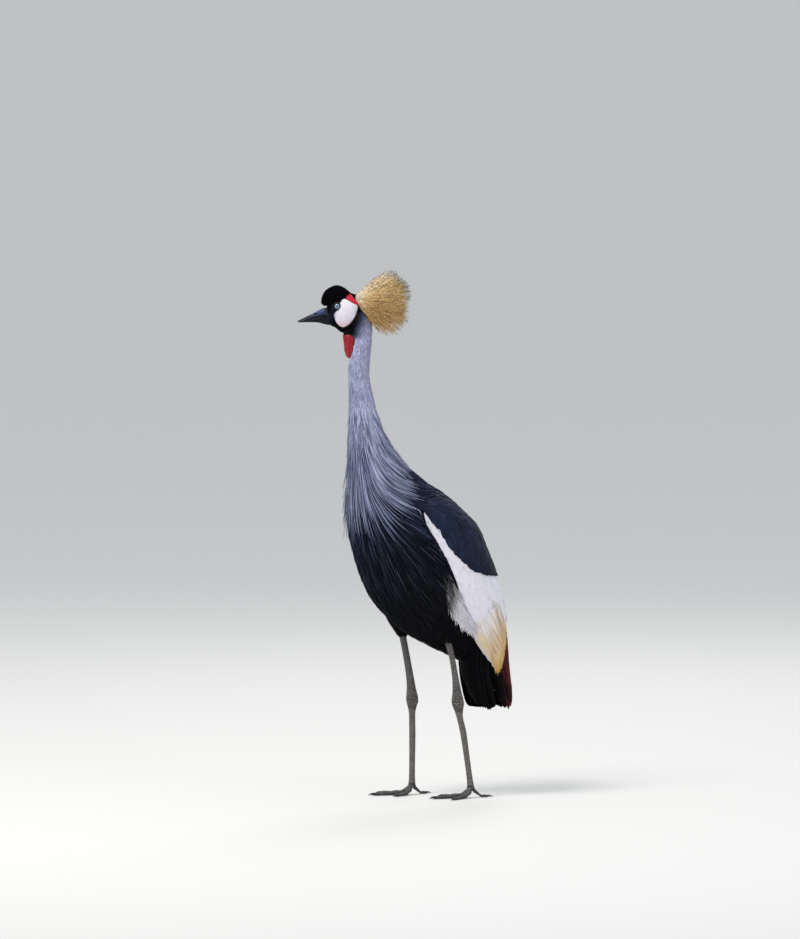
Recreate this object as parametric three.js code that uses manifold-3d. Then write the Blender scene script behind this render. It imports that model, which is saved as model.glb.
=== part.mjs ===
// Grey crowned crane, standing, life size. Millimetres, +Z up.
// The bird faces -Y, its left side is +X, and it stands on z = 0.
import * as THREE from 'three';
import Module from 'manifold-3d';
import { mergeVertices } from 'three/addons/utils/BufferGeometryUtils.js';

const wasm = await Module();
wasm.setup();

// ---- driving dimensions ----
const GAP = 0.35; // clearance between neighbouring pieces
const SHIFT = [0, 3.2]; // moves the middle of the bird's footprint box to the origin
const HEAD_TURN = 22; // degrees, the head looks a little to the bird's right
const HEAD_PIVOT_Y = -103.6; // the neck's top
const NECK_TOP = 924.2; // the cut between head and neck
const EYE_RADIUS = 6.4;
const EYE_AT = [48.8, 985.6, 12.9]; // forward of the pivot, height, out from the midline
const CREST_BASE = [6, 998]; // forward of the pivot, height
const TOE_MIDDLE = 80, TOE_INNER = 56, TOE_OUTER = 64, TOE_HIND = 33; // to the claw's base
const CLAW_LENGTH = 13;

// Body sections down the neck and trunk: centre y, centre z, tilt of the section (degrees),
// half depth, half width.
const CORE = [
  [-103.6, 924, 0, 21.1, 19.5],
  [-106.7, 900, 0, 22.4, 20],
  [-109.6, 870, 0, 22.3, 20],
  [-109.6, 839.9, 0, 21.8, 20.5],
  [-104.7, 800.7, 2.1, 25.9, 23],
  [-100.1, 761.5, 3.5, 30.5, 27],
  [-91.9, 722.2, 4.2, 39, 34],
  [-79.4, 679.7, 6, 52.9, 45],
  [-65.1, 642.3, 11.1, 69.3, 58],
  [-46.8, 603.7, 14, 89.5, 70],
  [-21.5, 556.9, 15.5, 110.7, 80],
  [7.1, 506, 15.5, 125.7, 86],
  [33, 451.2, 16.9, 129, 87],
  [58.2, 402.5, 17.2, 118.1, 80],
  [85.2, 361.7, 17.7, 102.3, 66],
  [112.2, 325.9, 16.1, 81, 48],
  [137, 294.1, 13.8, 57.7, 30],
  [150, 268.7, 14.1, 30, 14],
];
// The two folded wings and the shoulder feathers, as one mantle that is parted along the back.
const MANTLE = [
  [-18.3, 620, 45.7, 27.6, 38],
  [13.8, 601.2, 25.4, 42, 70],
  [42.9, 566.8, 12, 60.2, 94],
  [64.5, 529.2, 12.2, 73.9, 102],
  [80.9, 489.1, 12.9, 74.9, 104],
  [96.3, 452.6, 12.8, 75.7, 102],
  [113, 412.1, 14.6, 74.4, 97],
  [131.8, 373.5, 17.9, 67.2, 88],
  [149.7, 339.9, 20.4, 56.4, 76],
  [164.8, 304.4, 21.5, 45.9, 66],
  [175.4, 266.1, 19.8, 38.6, 58],
  [185.5, 222.7, 13.1, 29.6, 50],
  [195.2, 189.4, 6.3, 21.3, 42],
  [202.8, 169.6, 5.7, 8.1, 32],
];
const FLIGHT_FROM = 8.9; // along the mantle, where coverts end and flight feathers begin
const TAIL = [
  [162.9, 357.6, 22, 23.7, 34],
  [143.4, 302, 15.7, 33.3, 42],
  [138.6, 253, 8.9, 25.3, 50],
  [145.1, 213.7, 3.9, 19.8, 55],
  [152.1, 187.5, -2.3, 12.6, 53],
  [157.5, 172.3, -3.8, 5.3, 42],
];
// Legs: x, y, z, half depth, half width.
const THIGH = {
  left: [[50, 46.7, 395, 31, 24], [50, 53.1, 359, 24, 19], [50, 58.5, 331, 14.5, 12], [50, 62.8, 309, 8.8, 8.2]],
  right: [[-50, -10, 400, 33, 26], [-50, -5, 360, 27, 21], [-50, -0.5, 335, 17, 14], [-50, 5.1, 316, 9.2, 8.6]],
};
const SHANK = {
  left: [[50, 62.8, 309, 6.8, 6.4], [50, 70.4, 281, 6.1, 5.8], [50, 76.9, 245, 6.6, 6], [50, 80.7, 215, 9.2, 7.6], [50, 82.7, 191, 13, 9.6], [50, 85.1, 173, 8.6, 7]],
  right: [[-50, 5.1, 316, 7.2, 6.6], [-50, 12.2, 281, 7.2, 6.4], [-50, 19.1, 243, 7.8, 6.6], [-50, 23, 215, 9.6, 7.8], [-50, 25.2, 191, 13, 9.6], [-50, 24.9, 173, 8.6, 7]],
};
const TARSUS = {
  left: [[50, 85.1, 173, 8.6, 7], [50, 87.2, 161, 6.7, 5.8], [50, 94.1, 133, 6.7, 5.6], [50, 99.3, 101, 6.3, 5.4], [50, 104.9, 63, 6, 5.2], [50, 109.2, 33, 6.4, 6], [50, 111.4, 15, 8.2, 8.6]],
  right: [[-50, 24.9, 173, 8.6, 7], [-50, 24.9, 161, 6.7, 5.8], [-50, 25.4, 115, 6.7, 5.6], [-50, 24.9, 63, 6.2, 5.3], [-50, 24.5, 31, 6.5, 6], [-50, 24.5, 15, 8.2, 8.6]],
};
// Head sections: forward of the pivot, height, tilt (degrees), half height, half width.
const SKULL = [
  [2.5, 984, 0, 10, 6],
  [7.5, 980, 3, 24, 13.5],
  [19, 976.5, 2, 34.5, 18.5],
  [31, 972, 2, 39, 20],
  [43.5, 970.5, 1, 35.2, 19],
  [55.5, 970.6, 1, 26.6, 16],
  [65.7, 967.6, 1, 21.2, 12.5],
  [72.8, 965.8, 1, 17.4, 10],
];
const NAPE = [ // upper end of the neck, inside the head: forward, height, half depth, half width
  [0.7, 924, 21.3, 19.5],
  [1.2, 940, 22.8, 19.8],
  [5, 957, 23, 19.6],
  [12.5, 969.5, 19.5, 17],
  [19, 980, 15, 11],
];
const CUSHION = [ // velvet forehead: forward, height, tilt, half height, half width
  [18, 1005.5, 0, 3.5, 6],
  [26, 1008.7, 0, 8.7, 13],
  [37, 1011, 3, 15, 16.5],
  [49.5, 1010.7, 5, 18.8, 17.8],
  [61, 1006, 9, 19.2, 17],
  [70.5, 1000.5, 12, 16.9, 15],
  [76.5, 993.5, 16, 12, 11],
  [79.2, 990, 18, 5.2, 6],
];
const BILL_UPPER = [ // forward, top z, bottom z, half width
  [66, 981, 965.2, 9.6],
  [75, 981.6, 967.5, 8.9],
  [84, 977.8, 966.5, 7.2],
  [95, 971.8, 964.3, 5.6],
  [107, 966.0, 960.8, 4],
  [118, 960.4, 956.7, 2.5],
  [128.2, 955.4, 953.7, 0.8],
];
const BILL_LOWER = [
  [66, 964.7, 947.4, 9.2],
  [75, 967, 949.2, 8.3],
  [84, 966, 951.7, 6.8],
  [95, 963.8, 952.9, 5.2],
  [107, 960.3, 953.0, 3.6],
  [118, 956.2, 952.7, 2.2],
  [126, 954.0, 952.6, 0.9],
];
const WATTLE = [ // forward, height, half depth, half width
  [27, 938, 9.5, 8],
  [25.4, 924, 11.2, 12],
  [24, 909, 10.9, 13],
  [25, 895.5, 8.6, 10.5],
  [26, 885.5, 4.4, 6],
  [26, 882, 1.4, 2],
];

// ---- frames ----
const rad = THREE.MathUtils.degToRad;
const ahead = new THREE.Vector3(-Math.sin(rad(HEAD_TURN)), -Math.cos(rad(HEAD_TURN)), 0);
const aside = new THREE.Vector3(Math.cos(rad(HEAD_TURN)), -Math.sin(rad(HEAD_TURN)), 0); // the head's left
const pivot = new THREE.Vector3(0, HEAD_PIVOT_Y, 0);
const headPoint = (f, z, s = 0) => pivot.clone().addScaledVector(ahead, f).addScaledVector(aside, s).setZ(z);

// Smooth reading of a table at a fractional row.
function at(table, t) {
  const n = table.length - 1, u = Math.min(Math.max(t, 0), n), i = Math.min(Math.floor(u), n - 1), f = u - i;
  const row = (k) => table[Math.min(Math.max(k, 0), n)];
  return table[0].map((_, c) => {
    const p0 = i > 0 ? row(i - 1)[c] : 2 * row(0)[c] - row(1)[c];
    const p3 = i < n - 1 ? row(i + 2)[c] : 2 * row(n)[c] - row(n - 1)[c];
    const p1 = row(i)[c], p2 = row(i + 1)[c];
    return p1 + 0.5 * f * (p2 - p0 + f * (2 * p0 - 5 * p1 + 4 * p2 - p3 + f * (3 * (p1 - p2) + p3 - p0)));
  });
}
// Sections: each gives centre c, direction d with half size b, direction s with half size a.
const bodySection = (table) => (t, g) => {
  const [y, z, tilt, b, a] = at(table, t);
  return { c: new THREE.Vector3(0, y, z), d: new THREE.Vector3(0, Math.cos(rad(tilt)), Math.sin(rad(tilt))), s: new THREE.Vector3(1, 0, 0), b: b + g, a: a + g };
};
const headSection = (table) => (t, g) => {
  const [f, z, tilt, b, a] = at(table, t);
  const up = ahead.clone().multiplyScalar(Math.sin(rad(tilt))).setZ(Math.cos(rad(tilt)));
  return { c: headPoint(f, z), d: up, s: aside.clone(), b: b + g, a: a + g };
};
const uprightSection = (table) => (t, g) => {
  const [f, z, b, a] = at(table, t);
  return { c: headPoint(f, z), d: ahead.clone().negate(), s: aside.clone(), b: b + g, a: a + g };
};
const limbSection = (table) => (t, g) => {
  const [x, y, z, b, a] = at(table, t);
  return { c: new THREE.Vector3(x, y, z), d: new THREE.Vector3(0, 1, 0), s: new THREE.Vector3(1, 0, 0), b: b + g, a: a + g };
};

// A closed tube through sections: a capped cylinder whose rings are set on the sections.
// egg > 0 makes the section wider towards +d.
function loft(section, t0, t1, { sides = 16, rings = 8, grow = 0, egg = 0, ease = false } = {}) {
  const g = new THREE.CylinderGeometry(1, 1, 1, sides, rings, false);
  const p = g.getAttribute('position');
  for (let i = 0; i < p.count; i++) {
    const x = p.getX(i), z = p.getZ(i);
    let k = p.getY(i) + 0.5;
    if (ease) k = 0.5 - 0.5 * Math.cos(Math.PI * k);
    const q = section(t0 + (t1 - t0) * k, grow);
    const v = q.c.clone().addScaledVector(q.d, q.b * z).addScaledVector(q.s, q.a * x * (1 + egg * z));
    p.setXYZ(i, v.x, v.y, v.z);
  }
  return solid(g);
}
// three.js geometry to a solid, with its faces turned outwards.
function solid(geometry) {
  const g = geometry.clone();
  for (const name of Object.keys(g.attributes)) if (name !== 'position') g.deleteAttribute(name);
  const merged = mergeVertices(g, 1e-4);
  const tri = new Uint32Array(merged.index.array), pos = new Float32Array(merged.getAttribute('position').array);
  let volume = 0;
  const v = (i) => new THREE.Vector3(pos[3 * i], pos[3 * i + 1], pos[3 * i + 2]);
  for (let i = 0; i < tri.length; i += 3) volume += v(tri[i]).dot(v(tri[i + 1]).cross(v(tri[i + 2])));
  if (volume < 0) for (let i = 0; i < tri.length; i += 3) [tri[i + 1], tri[i + 2]] = [tri[i + 2], tri[i + 1]];
  return new wasm.Manifold(new wasm.Mesh({ numProp: 3, vertProperties: pos, triVerts: tri }));
}
const box = (x0, x1, y0, y1, z0, z1) => solid(new THREE.BoxGeometry(x1 - x0, y1 - y0, z1 - z0).translate((x0 + x1) / 2, (y0 + y1) / 2, (z0 + z1) / 2));
function largest(m) {
  const parts = m.decompose();
  return parts.length === 1 ? m : parts.reduce((a, b) => (a.volume() > b.volume() ? a : b));
}

const group = new THREE.Group();
function add(name, m, color, roughness = 0.8, metalness = 0) {
  const got = largest(m).getMesh(), n = got.numProp, count = got.vertProperties.length / n, v = new Float32Array(count * 3);
  for (let i = 0; i < count; i++) v.set(got.vertProperties.subarray(i * n, i * n + 3), i * 3);
  const g = new THREE.BufferGeometry();
  g.setAttribute('position', new THREE.BufferAttribute(v, 3));
  g.setIndex(new THREE.BufferAttribute(new Uint32Array(got.triVerts), 1));
  g.computeVertexNormals();
  const mesh = new THREE.Mesh(g, new THREE.MeshStandardMaterial({ color, roughness, metalness }));
  mesh.name = name;
  mesh.position.set(SHIFT[0], SHIFT[1], 0);
  group.add(mesh);
}

const GREY = 0x9aa3bd, SLATE = 0x1c2230, WHITE = 0xe6e4ee, BLACK = 0x08080a, RED = 0xb0122c, GOLD = 0xd0a45c, LEG = 0x4d4f55, BILL = 0x2a2f3d, CHESTNUT = 0x35131a;

// ---- neck and trunk: one form, parted by thin cuts ----
const core = bodySection(CORE);
const cut = 0.006; // of a row, about 0.3 mm along the neck
const trunkFrom = 8.0;
const neckUpperAt = (grow) => loft(core, 0.01, 3 - cut, { sides: 18, rings: 5, grow });
const neckMiddleAt = (grow) => loft(core, 3 + cut, 5.6 - cut, { sides: 18, rings: 5, grow });
const neckLowerAt = (grow) => loft(core, 5.6 + cut, trunkFrom - cut, { sides: 22, rings: 5, egg: 0.04, grow });
const trunkAt = (grow) => loft(core, trunkFrom + cut, 17, { sides: 24, rings: 13, egg: 0.08, grow });
const CLEAR = GAP + 0.25; // growth of a piece before it is taken out of its neighbour
const trunkGrown = trunkAt(CLEAR);
const neckGrown = neckUpperAt(CLEAR).add(neckMiddleAt(CLEAR)).add(neckLowerAt(CLEAR)).add(loft(core, 0.01, 8.3, { sides: 22, rings: 14, grow: GAP }));
add('neck_upper', neckUpperAt(0), GREY);
add('neck_middle', neckMiddleAt(0), GREY);
add('neck_lower', neckLowerAt(0), GREY);
add('trunk', trunkAt(0), SLATE);

// ---- tail and folded wings ----
const tailSection = bodySection(TAIL);
const tailAt = (grow) => loft(tailSection, 0, 5, { sides: 20, rings: 7, grow });
const tail = tailAt(0).subtract(trunkGrown);
const tailGrown = tailAt(CLEAR);
const mantleSection = bodySection(MANTLE);
const covertsAt = (grow) => loft(mantleSection, 0, FLIGHT_FROM - 0.008, { sides: 24, rings: 11, grow });
const flightsAt = (grow) => loft(mantleSection, FLIGHT_FROM + 0.008, 13, { sides: 24, rings: 6, grow });
const clearOfBody = (m) => m.subtract(trunkGrown).subtract(tailGrown).subtract(neckGrown);
const coverts = clearOfBody(covertsAt(0)), flights = clearOfBody(flightsAt(0));
const wingsGrown = covertsAt(CLEAR).add(flightsAt(CLEAR));
const halfSpace = (left) => (left ? box(-400, 0.2, -500, 500, 0, 1200) : box(-0.2, 400, -500, 500, 0, 1200));
add('tail', tail, BLACK);
for (const side of ['left', 'right']) {
  add('wing_coverts_' + side, coverts.subtract(halfSpace(side === 'left')), WHITE);
  add('wing_flights_' + side, flights.subtract(halfSpace(side === 'left')), CHESTNUT);
}

// ---- head ----
const skullSection = headSection(SKULL), napeSection = uprightSection(NAPE);
const skull = (grow) => loft(skullSection, 0, 7, { sides: 18, rings: 9, grow });
const nape = (grow) => loft(napeSection, 0, 4, { sides: 16, rings: 5, grow });
const eye = (side, r) => solid(new THREE.SphereGeometry(r, 12, 8).rotateX(Math.PI / 2).translate(...headPoint(EYE_AT[0], EYE_AT[1], side * EYE_AT[2]).toArray()));
const headWhole = skull(0).add(nape(0)).subtract(box(-200, 200, -300, 200, 800, NECK_TOP + 0.35));
const headGrown = skull(GAP).add(nape(GAP));
const billSection = (table) => (t, g) => {
  const [f, top, low, w] = at(table, t);
  return { c: headPoint(f, (top + low) / 2), d: new THREE.Vector3(0, 0, 1), s: aside.clone(), b: (top - low) / 2 + g, a: w + g };
};
// Each half of the bill is an oval tube planed flat along the gape.
const bill = (table, t1, upper) => {
  const section = billSection(table);
  return loft((t, g) => {
    const q = section(t, g), full = q.b * 2;
    q.c.z += upper ? -q.b : q.b; // the gape line carries the section's centre
    return { ...q, b: full };
  }, 0, t1, { sides: 14, rings: 6 });
};
function wedge(above) {
  // box swept along the gape, made from a four-sided tube turned square
  const g = new THREE.CylinderGeometry(1, 1, 1, 4, 6, false).rotateY(Math.PI / 4);
  const p = g.getAttribute('position');
  for (let i = 0; i < p.count; i++) {
    const k = p.getY(i) + 0.5, [f, , low] = at(BILL_UPPER, 6 * k);
    const x = Math.sign(Math.round(p.getX(i) * 10)) * 30, up = Math.sign(Math.round(p.getZ(i) * 10));
    const base = above ? low : low - 0.35;
    const z = up === 0 ? base + (above ? 20 : -20) : above === (up > 0) ? base + (above ? 60 : -60) : base;
    const extra = k > 0.999 ? 6 : k < 0.001 ? -6 : 0;
    const v = headPoint(f + extra, z, x);
    p.setXYZ(i, v.x, v.y, v.z);
  }
  return solid(g);
}
const billUpper = bill(BILL_UPPER, 6, true).intersect(wedge(true)).subtract(headGrown);
const billLower = bill(BILL_LOWER, 6, false).intersect(wedge(false)).subtract(headGrown);
const billGrown = loft(billSection(BILL_UPPER.map(([f, t], i) => [f, t, at(BILL_LOWER, i)[2], BILL_UPPER[i][3]])), 0, 6, { sides: 16, rings: 8, grow: GAP });
const cushionSection = headSection(CUSHION);
const cushionAt = (grow) => loft(cushionSection, 0, 7, { sides: 16, rings: 8, grow });
const cushion = cushionAt(0).subtract(headGrown).subtract(billGrown).subtract(eye(1, EYE_RADIUS + GAP)).subtract(eye(-1, EYE_RADIUS + GAP));
add('head', headWhole.subtract(eye(1, EYE_RADIUS + GAP)).subtract(eye(-1, EYE_RADIUS + GAP)), BLACK);
add('forehead_cushion', cushion, BLACK);
add('bill_upper', billUpper, BILL, 0.45);
add('bill_lower', billLower, BILL, 0.45);
add('eye_left', eye(1, EYE_RADIUS), 0x9fb6c8, 0.1);
add('eye_right', eye(-1, EYE_RADIUS), 0x9fb6c8, 0.1);
const wattle = loft(uprightSection(WATTLE), 0, 5, { sides: 12, rings: 7 }).subtract(neckGrown).subtract(headGrown);
add('wattle', wattle, RED, 0.6);

// ---- crown: the outline of the bristle fan ----
// profile of the fan: distance from its root, radius
const crestProfile = [[0, 0], [0, 9], [22, 34], [40, 50], [56, 61], [68, 62], [82, 56], [94, 42], [102, 23], [106, 0]].map(([h, r]) => [r, h]);
const crestGeometry = new THREE.LatheGeometry(crestProfile.map(([r, h]) => new THREE.Vector2(r, h)), 20);
const crestAxis = ahead.clone().negate().setZ(-0.01).normalize();
crestGeometry.applyQuaternion(new THREE.Quaternion().setFromUnitVectors(new THREE.Vector3(0, 1, 0), crestAxis));
crestGeometry.translate(...headPoint(CREST_BASE[0], CREST_BASE[1]).toArray());
add('crest', solid(crestGeometry).subtract(headGrown).subtract(neckGrown).subtract(cushionAt(GAP)), GOLD);

// ---- legs ----
for (const [side, sx] of [['left', 1], ['right', -1]]) {
  const thighAt = limbSection(THIGH[side]), shankAt = limbSection(SHANK[side]), tarsusAt = limbSection(TARSUS[side]);
  add('thigh_' + side, loft(thighAt, 0, 2.98, { sides: 14, rings: 6 }).subtract(trunkGrown).subtract(wingsGrown).subtract(tailGrown), BLACK);
  add('shank_' + side, loft(shankAt, 0.006, 4.985, { sides: 10, rings: 10 }), LEG, 0.6);
  add('tarsus_' + side, loft(tarsusAt, 0.015, side === 'left' ? 6 : 5, { sides: 10, rings: 7 }), LEG, 0.6);
  // toes: name, angle off straight ahead (degrees, outwards), length, thickness
  const end = side === 'left' ? at(TARSUS.left, 6) : at(TARSUS.right, 5);
  const grownFoot = loft(tarsusAt, 0.015, side === 'left' ? 6 : 5, { sides: 10, rings: 7, grow: GAP });
  let others = grownFoot;
  for (const [name, angle, length, r] of [['middle', 3, TOE_MIDDLE, 5.4], ['inner', -34, TOE_INNER, 4.9], ['outer', 36, TOE_OUTER, 4.9], ['hind', 170, TOE_HIND, 4.3]]) {
    const way = new THREE.Vector3(Math.sin(rad(angle)) * sx, -Math.cos(rad(angle)), 0);
    const start = name === 'hind' ? 15 : 11.5;
    const thick = (u) => r * (1 - 0.38 * u) * (1 + 0.1 * Math.sin((u * length) / 80 * Math.PI * 6.5));
    // the toe comes down off the foot, then lies along the floor with its underside pressed flat
    const height = (u) => { const k = Math.min(1, u * (name === 'hind' ? 1.8 : 3.2)); return start + (thick(u) * 0.95 - 0.35 - start) * k; };
    const toeAt = (grow) => (t, g) => {
      const u = Math.max(0, t), rr = thick(u) + g + grow;
      return { c: new THREE.Vector3(end[0], end[1], height(u)).addScaledVector(way, 4 + (length - 4) * u), d: new THREE.Vector3(0, 0, 1), s: new THREE.Vector3(-way.y, way.x, 0), b: rr * (u < 0.12 ? 1.05 : 0.95), a: rr };
    };
    const floorCut = box(-300, 300, -300, 400, -40, 0);
    const toe = loft(toeAt(0), 0, 1, { sides: 8, rings: 7 }).subtract(floorCut).subtract(others);
    add(`toe_${name}_${side}`, toe, LEG, 0.6);
    others = others.add(loft(toeAt(GAP), -0.02, 1, { sides: 8, rings: 7 }));
    // claw: a curved cone from the toe's end, its tip just above the floor
    const clawAt = (t, g) => {
      const rr = Math.max(0.5, (r * 0.5) * (1 - 0.82 * t));
      return { c: new THREE.Vector3(end[0], end[1], height(1) + 0.9 * Math.sin(t * 2.2) - 2.6 * t * t).addScaledVector(way, length + 0.35 + (CLAW_LENGTH - 0.35) * t), d: new THREE.Vector3(0, 0, 1), s: new THREE.Vector3(-way.y, way.x, 0), b: rr * 1.15, a: rr };
    };
    add(`claw_${name}_${side}`, loft(clawAt, 0, 1, { sides: 6, rings: 3 }).subtract(floorCut), 0x141416, 0.4);
  }
}

export default group;
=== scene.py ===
import bpy
import bmesh
import math
import numpy as np
from mathutils import Matrix, Vector
from mathutils.bvhtree import BVHTree


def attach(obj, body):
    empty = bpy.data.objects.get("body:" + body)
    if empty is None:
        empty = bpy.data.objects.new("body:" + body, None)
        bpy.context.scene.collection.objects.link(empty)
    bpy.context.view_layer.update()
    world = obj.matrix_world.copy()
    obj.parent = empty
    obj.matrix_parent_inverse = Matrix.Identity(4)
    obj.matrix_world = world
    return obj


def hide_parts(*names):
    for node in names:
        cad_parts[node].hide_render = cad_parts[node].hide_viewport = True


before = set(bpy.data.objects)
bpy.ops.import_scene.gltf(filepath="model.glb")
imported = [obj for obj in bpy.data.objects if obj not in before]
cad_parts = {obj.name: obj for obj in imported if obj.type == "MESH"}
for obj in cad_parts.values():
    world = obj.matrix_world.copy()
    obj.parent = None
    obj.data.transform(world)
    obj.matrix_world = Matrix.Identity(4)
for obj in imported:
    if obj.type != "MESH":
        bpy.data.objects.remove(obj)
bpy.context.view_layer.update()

MM = 0.001
SHIFT = np.array([0.0, 3.2, 0.0])
HEAD_TURN = math.radians(22)
PIVOT = np.array([0.0, -103.6, 0.0])
AHEAD = np.array([-math.sin(HEAD_TURN), -math.cos(HEAD_TURN), 0.0])
ASIDE = np.array([math.cos(HEAD_TURN), -math.sin(HEAD_TURN), 0.0])
UP = np.array([0.0, 0.0, 1.0])
EYE_RADIUS = 6.4
EYE_AT = (48.8, 985.6, 12.9)
CREST_BASE = (6.0, 998.0)
A = np.array

# ---------------------------------------------------------------- tables
CORE = A([
  [-103.6, 924, 0, 21.1, 19.5], [-106.7, 900, 0, 22.4, 20], [-109.6, 870, 0, 22.3, 20], [-109.6, 839.9, 0, 21.8, 20.5],
  [-104.7, 800.7, 2.1, 25.9, 23], [-100.1, 761.5, 3.5, 30.5, 27], [-91.9, 722.2, 4.2, 39, 34], [-79.4, 679.7, 6, 52.9, 45],
  [-65.1, 642.3, 11.1, 69.3, 58], [-46.8, 603.7, 14, 89.5, 70], [-21.5, 556.9, 15.5, 110.7, 80], [7.1, 506, 15.5, 125.7, 86],
  [33, 451.2, 16.9, 129, 87], [58.2, 402.5, 17.2, 118.1, 80], [85.2, 361.7, 17.7, 102.3, 66], [112.2, 325.9, 16.1, 81, 48],
  [137, 294.1, 13.8, 57.7, 30], [150, 268.7, 14.1, 30, 14]])
MANTLE = A([
  [-18.3, 620, 45.7, 27.6, 38], [13.8, 601.2, 25.4, 42, 70], [42.9, 566.8, 12, 60.2, 94], [64.5, 529.2, 12.2, 73.9, 102],
  [80.9, 489.1, 12.9, 74.9, 104], [96.3, 452.6, 12.8, 75.7, 102], [113, 412.1, 14.6, 74.4, 97], [131.8, 373.5, 17.9, 67.2, 88],
  [149.7, 339.9, 20.4, 56.4, 76], [164.8, 304.4, 21.5, 45.9, 66], [175.4, 266.1, 19.8, 38.6, 58], [185.5, 222.7, 13.1, 29.6, 50],
  [195.2, 189.4, 6.3, 21.3, 42], [202.8, 169.6, 5.7, 8.1, 32]])
TAIL = A([
  [162.9, 357.6, 22, 23.7, 34], [143.4, 302, 15.7, 33.3, 42], [138.6, 253, 8.9, 25.3, 50], [145.1, 213.7, 3.9, 19.8, 55],
  [152.1, 187.5, -2.3, 12.6, 53], [157.5, 172.3, -3.8, 5.3, 42]])
THIGH = {"left": A([[50, 46.7, 395, 31, 24], [50, 53.1, 359, 24, 19], [50, 58.5, 331, 14.5, 12], [50, 62.8, 309, 8.8, 8.2]]),
         "right": A([[-50, -10, 400, 33, 26], [-50, -5, 360, 27, 21], [-50, -0.5, 335, 17, 14], [-50, 5.1, 316, 9.2, 8.6]])}
SHANK = {"left": A([[50, 62.8, 309, 6.8, 6.4], [50, 70.4, 281, 6.1, 5.8], [50, 76.9, 245, 6.6, 6], [50, 80.7, 215, 9.2, 7.6], [50, 82.7, 191, 13, 9.6], [50, 85.1, 173, 8.6, 7]]),
         "right": A([[-50, 5.1, 316, 7.2, 6.6], [-50, 12.2, 281, 7.2, 6.4], [-50, 19.1, 243, 7.8, 6.6], [-50, 23, 215, 9.6, 7.8], [-50, 25.2, 191, 13, 9.6], [-50, 24.9, 173, 8.6, 7]])}
TARSUS = {"left": A([[50, 85.1, 173, 8.6, 7], [50, 87.2, 161, 6.7, 5.8], [50, 94.1, 133, 6.7, 5.6], [50, 99.3, 101, 6.3, 5.4], [50, 104.9, 63, 6, 5.2], [50, 109.2, 33, 6.4, 6], [50, 111.4, 15, 8.2, 8.6]]),
          "right": A([[-50, 24.9, 173, 8.6, 7], [-50, 24.9, 161, 6.7, 5.8], [-50, 25.4, 115, 6.7, 5.6], [-50, 24.9, 63, 6.2, 5.3], [-50, 24.5, 31, 6.5, 6], [-50, 24.5, 15, 8.2, 8.6]])}
SKULL = A([[2.5, 984, 0, 10, 6], [7.5, 980, 3, 24, 13.5], [19, 976.5, 2, 34.5, 18.5], [31, 972, 2, 39, 20], [43.5, 970.5, 1, 35.2, 19],
  [55.5, 970.6, 1, 26.6, 16], [65.7, 967.6, 1, 21.2, 12.5], [72.8, 965.8, 1, 17.4, 10]])
NAPE = A([[0.7, 924, 21.3, 19.5], [1.2, 940, 22.8, 19.8], [5, 957, 23, 19.6], [12.5, 969.5, 19.5, 17], [19, 980, 15, 11]])
CUSHION = A([[18, 1005.5, 0, 3.5, 6], [26, 1008.7, 0, 8.7, 13], [37, 1011, 3, 15, 16.5], [49.5, 1010.7, 5, 18.8, 17.8], [61, 1006, 9, 19.2, 17],
  [70.5, 1000.5, 12, 16.9, 15], [76.5, 993.5, 16, 12, 11], [79.2, 990, 18, 5.2, 6]])
BILL_UPPER = A([[66, 981, 965.2, 9.6], [75, 981.6, 967.5, 8.9], [84, 977.8, 966.5, 7.2], [95, 971.8, 964.3, 5.6], [107, 966.0, 960.8, 4],
  [118, 960.4, 956.7, 2.5], [128.2, 955.4, 953.7, 0.8]])
BILL_LOWER = A([[66, 964.7, 947.4, 9.2], [75, 967, 949.2, 8.3], [84, 966, 951.7, 6.8], [95, 963.8, 952.9, 5.2], [107, 960.3, 953.0, 3.6],
  [118, 956.2, 952.7, 2.2], [126, 954.0, 952.6, 0.9]])
WATTLE = A([[27, 938, 9.5, 8], [25.4, 924, 11.2, 12], [24, 909, 10.9, 13], [25, 895.5, 8.6, 10.5], [26, 885.5, 4.4, 6], [26, 882, 1.4, 2]])
TOES = [("middle", 3, 80, 5.4), ("inner", -34, 56, 4.9), ("outer", 36, 64, 4.9), ("hind", 170, 33, 4.3)]
CLAW_LENGTH = 13

# outlines of the markings, seen square to the head's side: forward of the pivot, height
CHEEK = A([(43.2, 986.9), (39.4, 992.9), (34.8, 994.7), (28.6, 991.9), (17.9, 985.1), (8.5, 981.7), (7.9, 975.4), (13.5, 959.4), (21.4, 947.8),
  (28.6, 941.6), (36.6, 937.7), (44.6, 940.6), (51.0, 947.8), (55.0, 957.6), (54.4, 966.2), (48.2, 970.6), (43.6, 975.4), (42.4, 980.7)])
RED = A([(35.4, 996.2), (25.4, 1006.5), (22.0, 1004.5), (17.9, 999), (9.9, 988.5), (4.9, 981.8), (6.1, 978.8), (17.9, 984.8), (28.6, 991.6)])
THROAT = A([(37.0, 921), (31, 924.5), (20, 925.5), (12.6, 922.5), (12.0, 915), (13.6, 905), (16.4, 893), (19.6, 883), (23.8, 874.5), (29, 879), (33, 896), (36, 912)])
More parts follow.
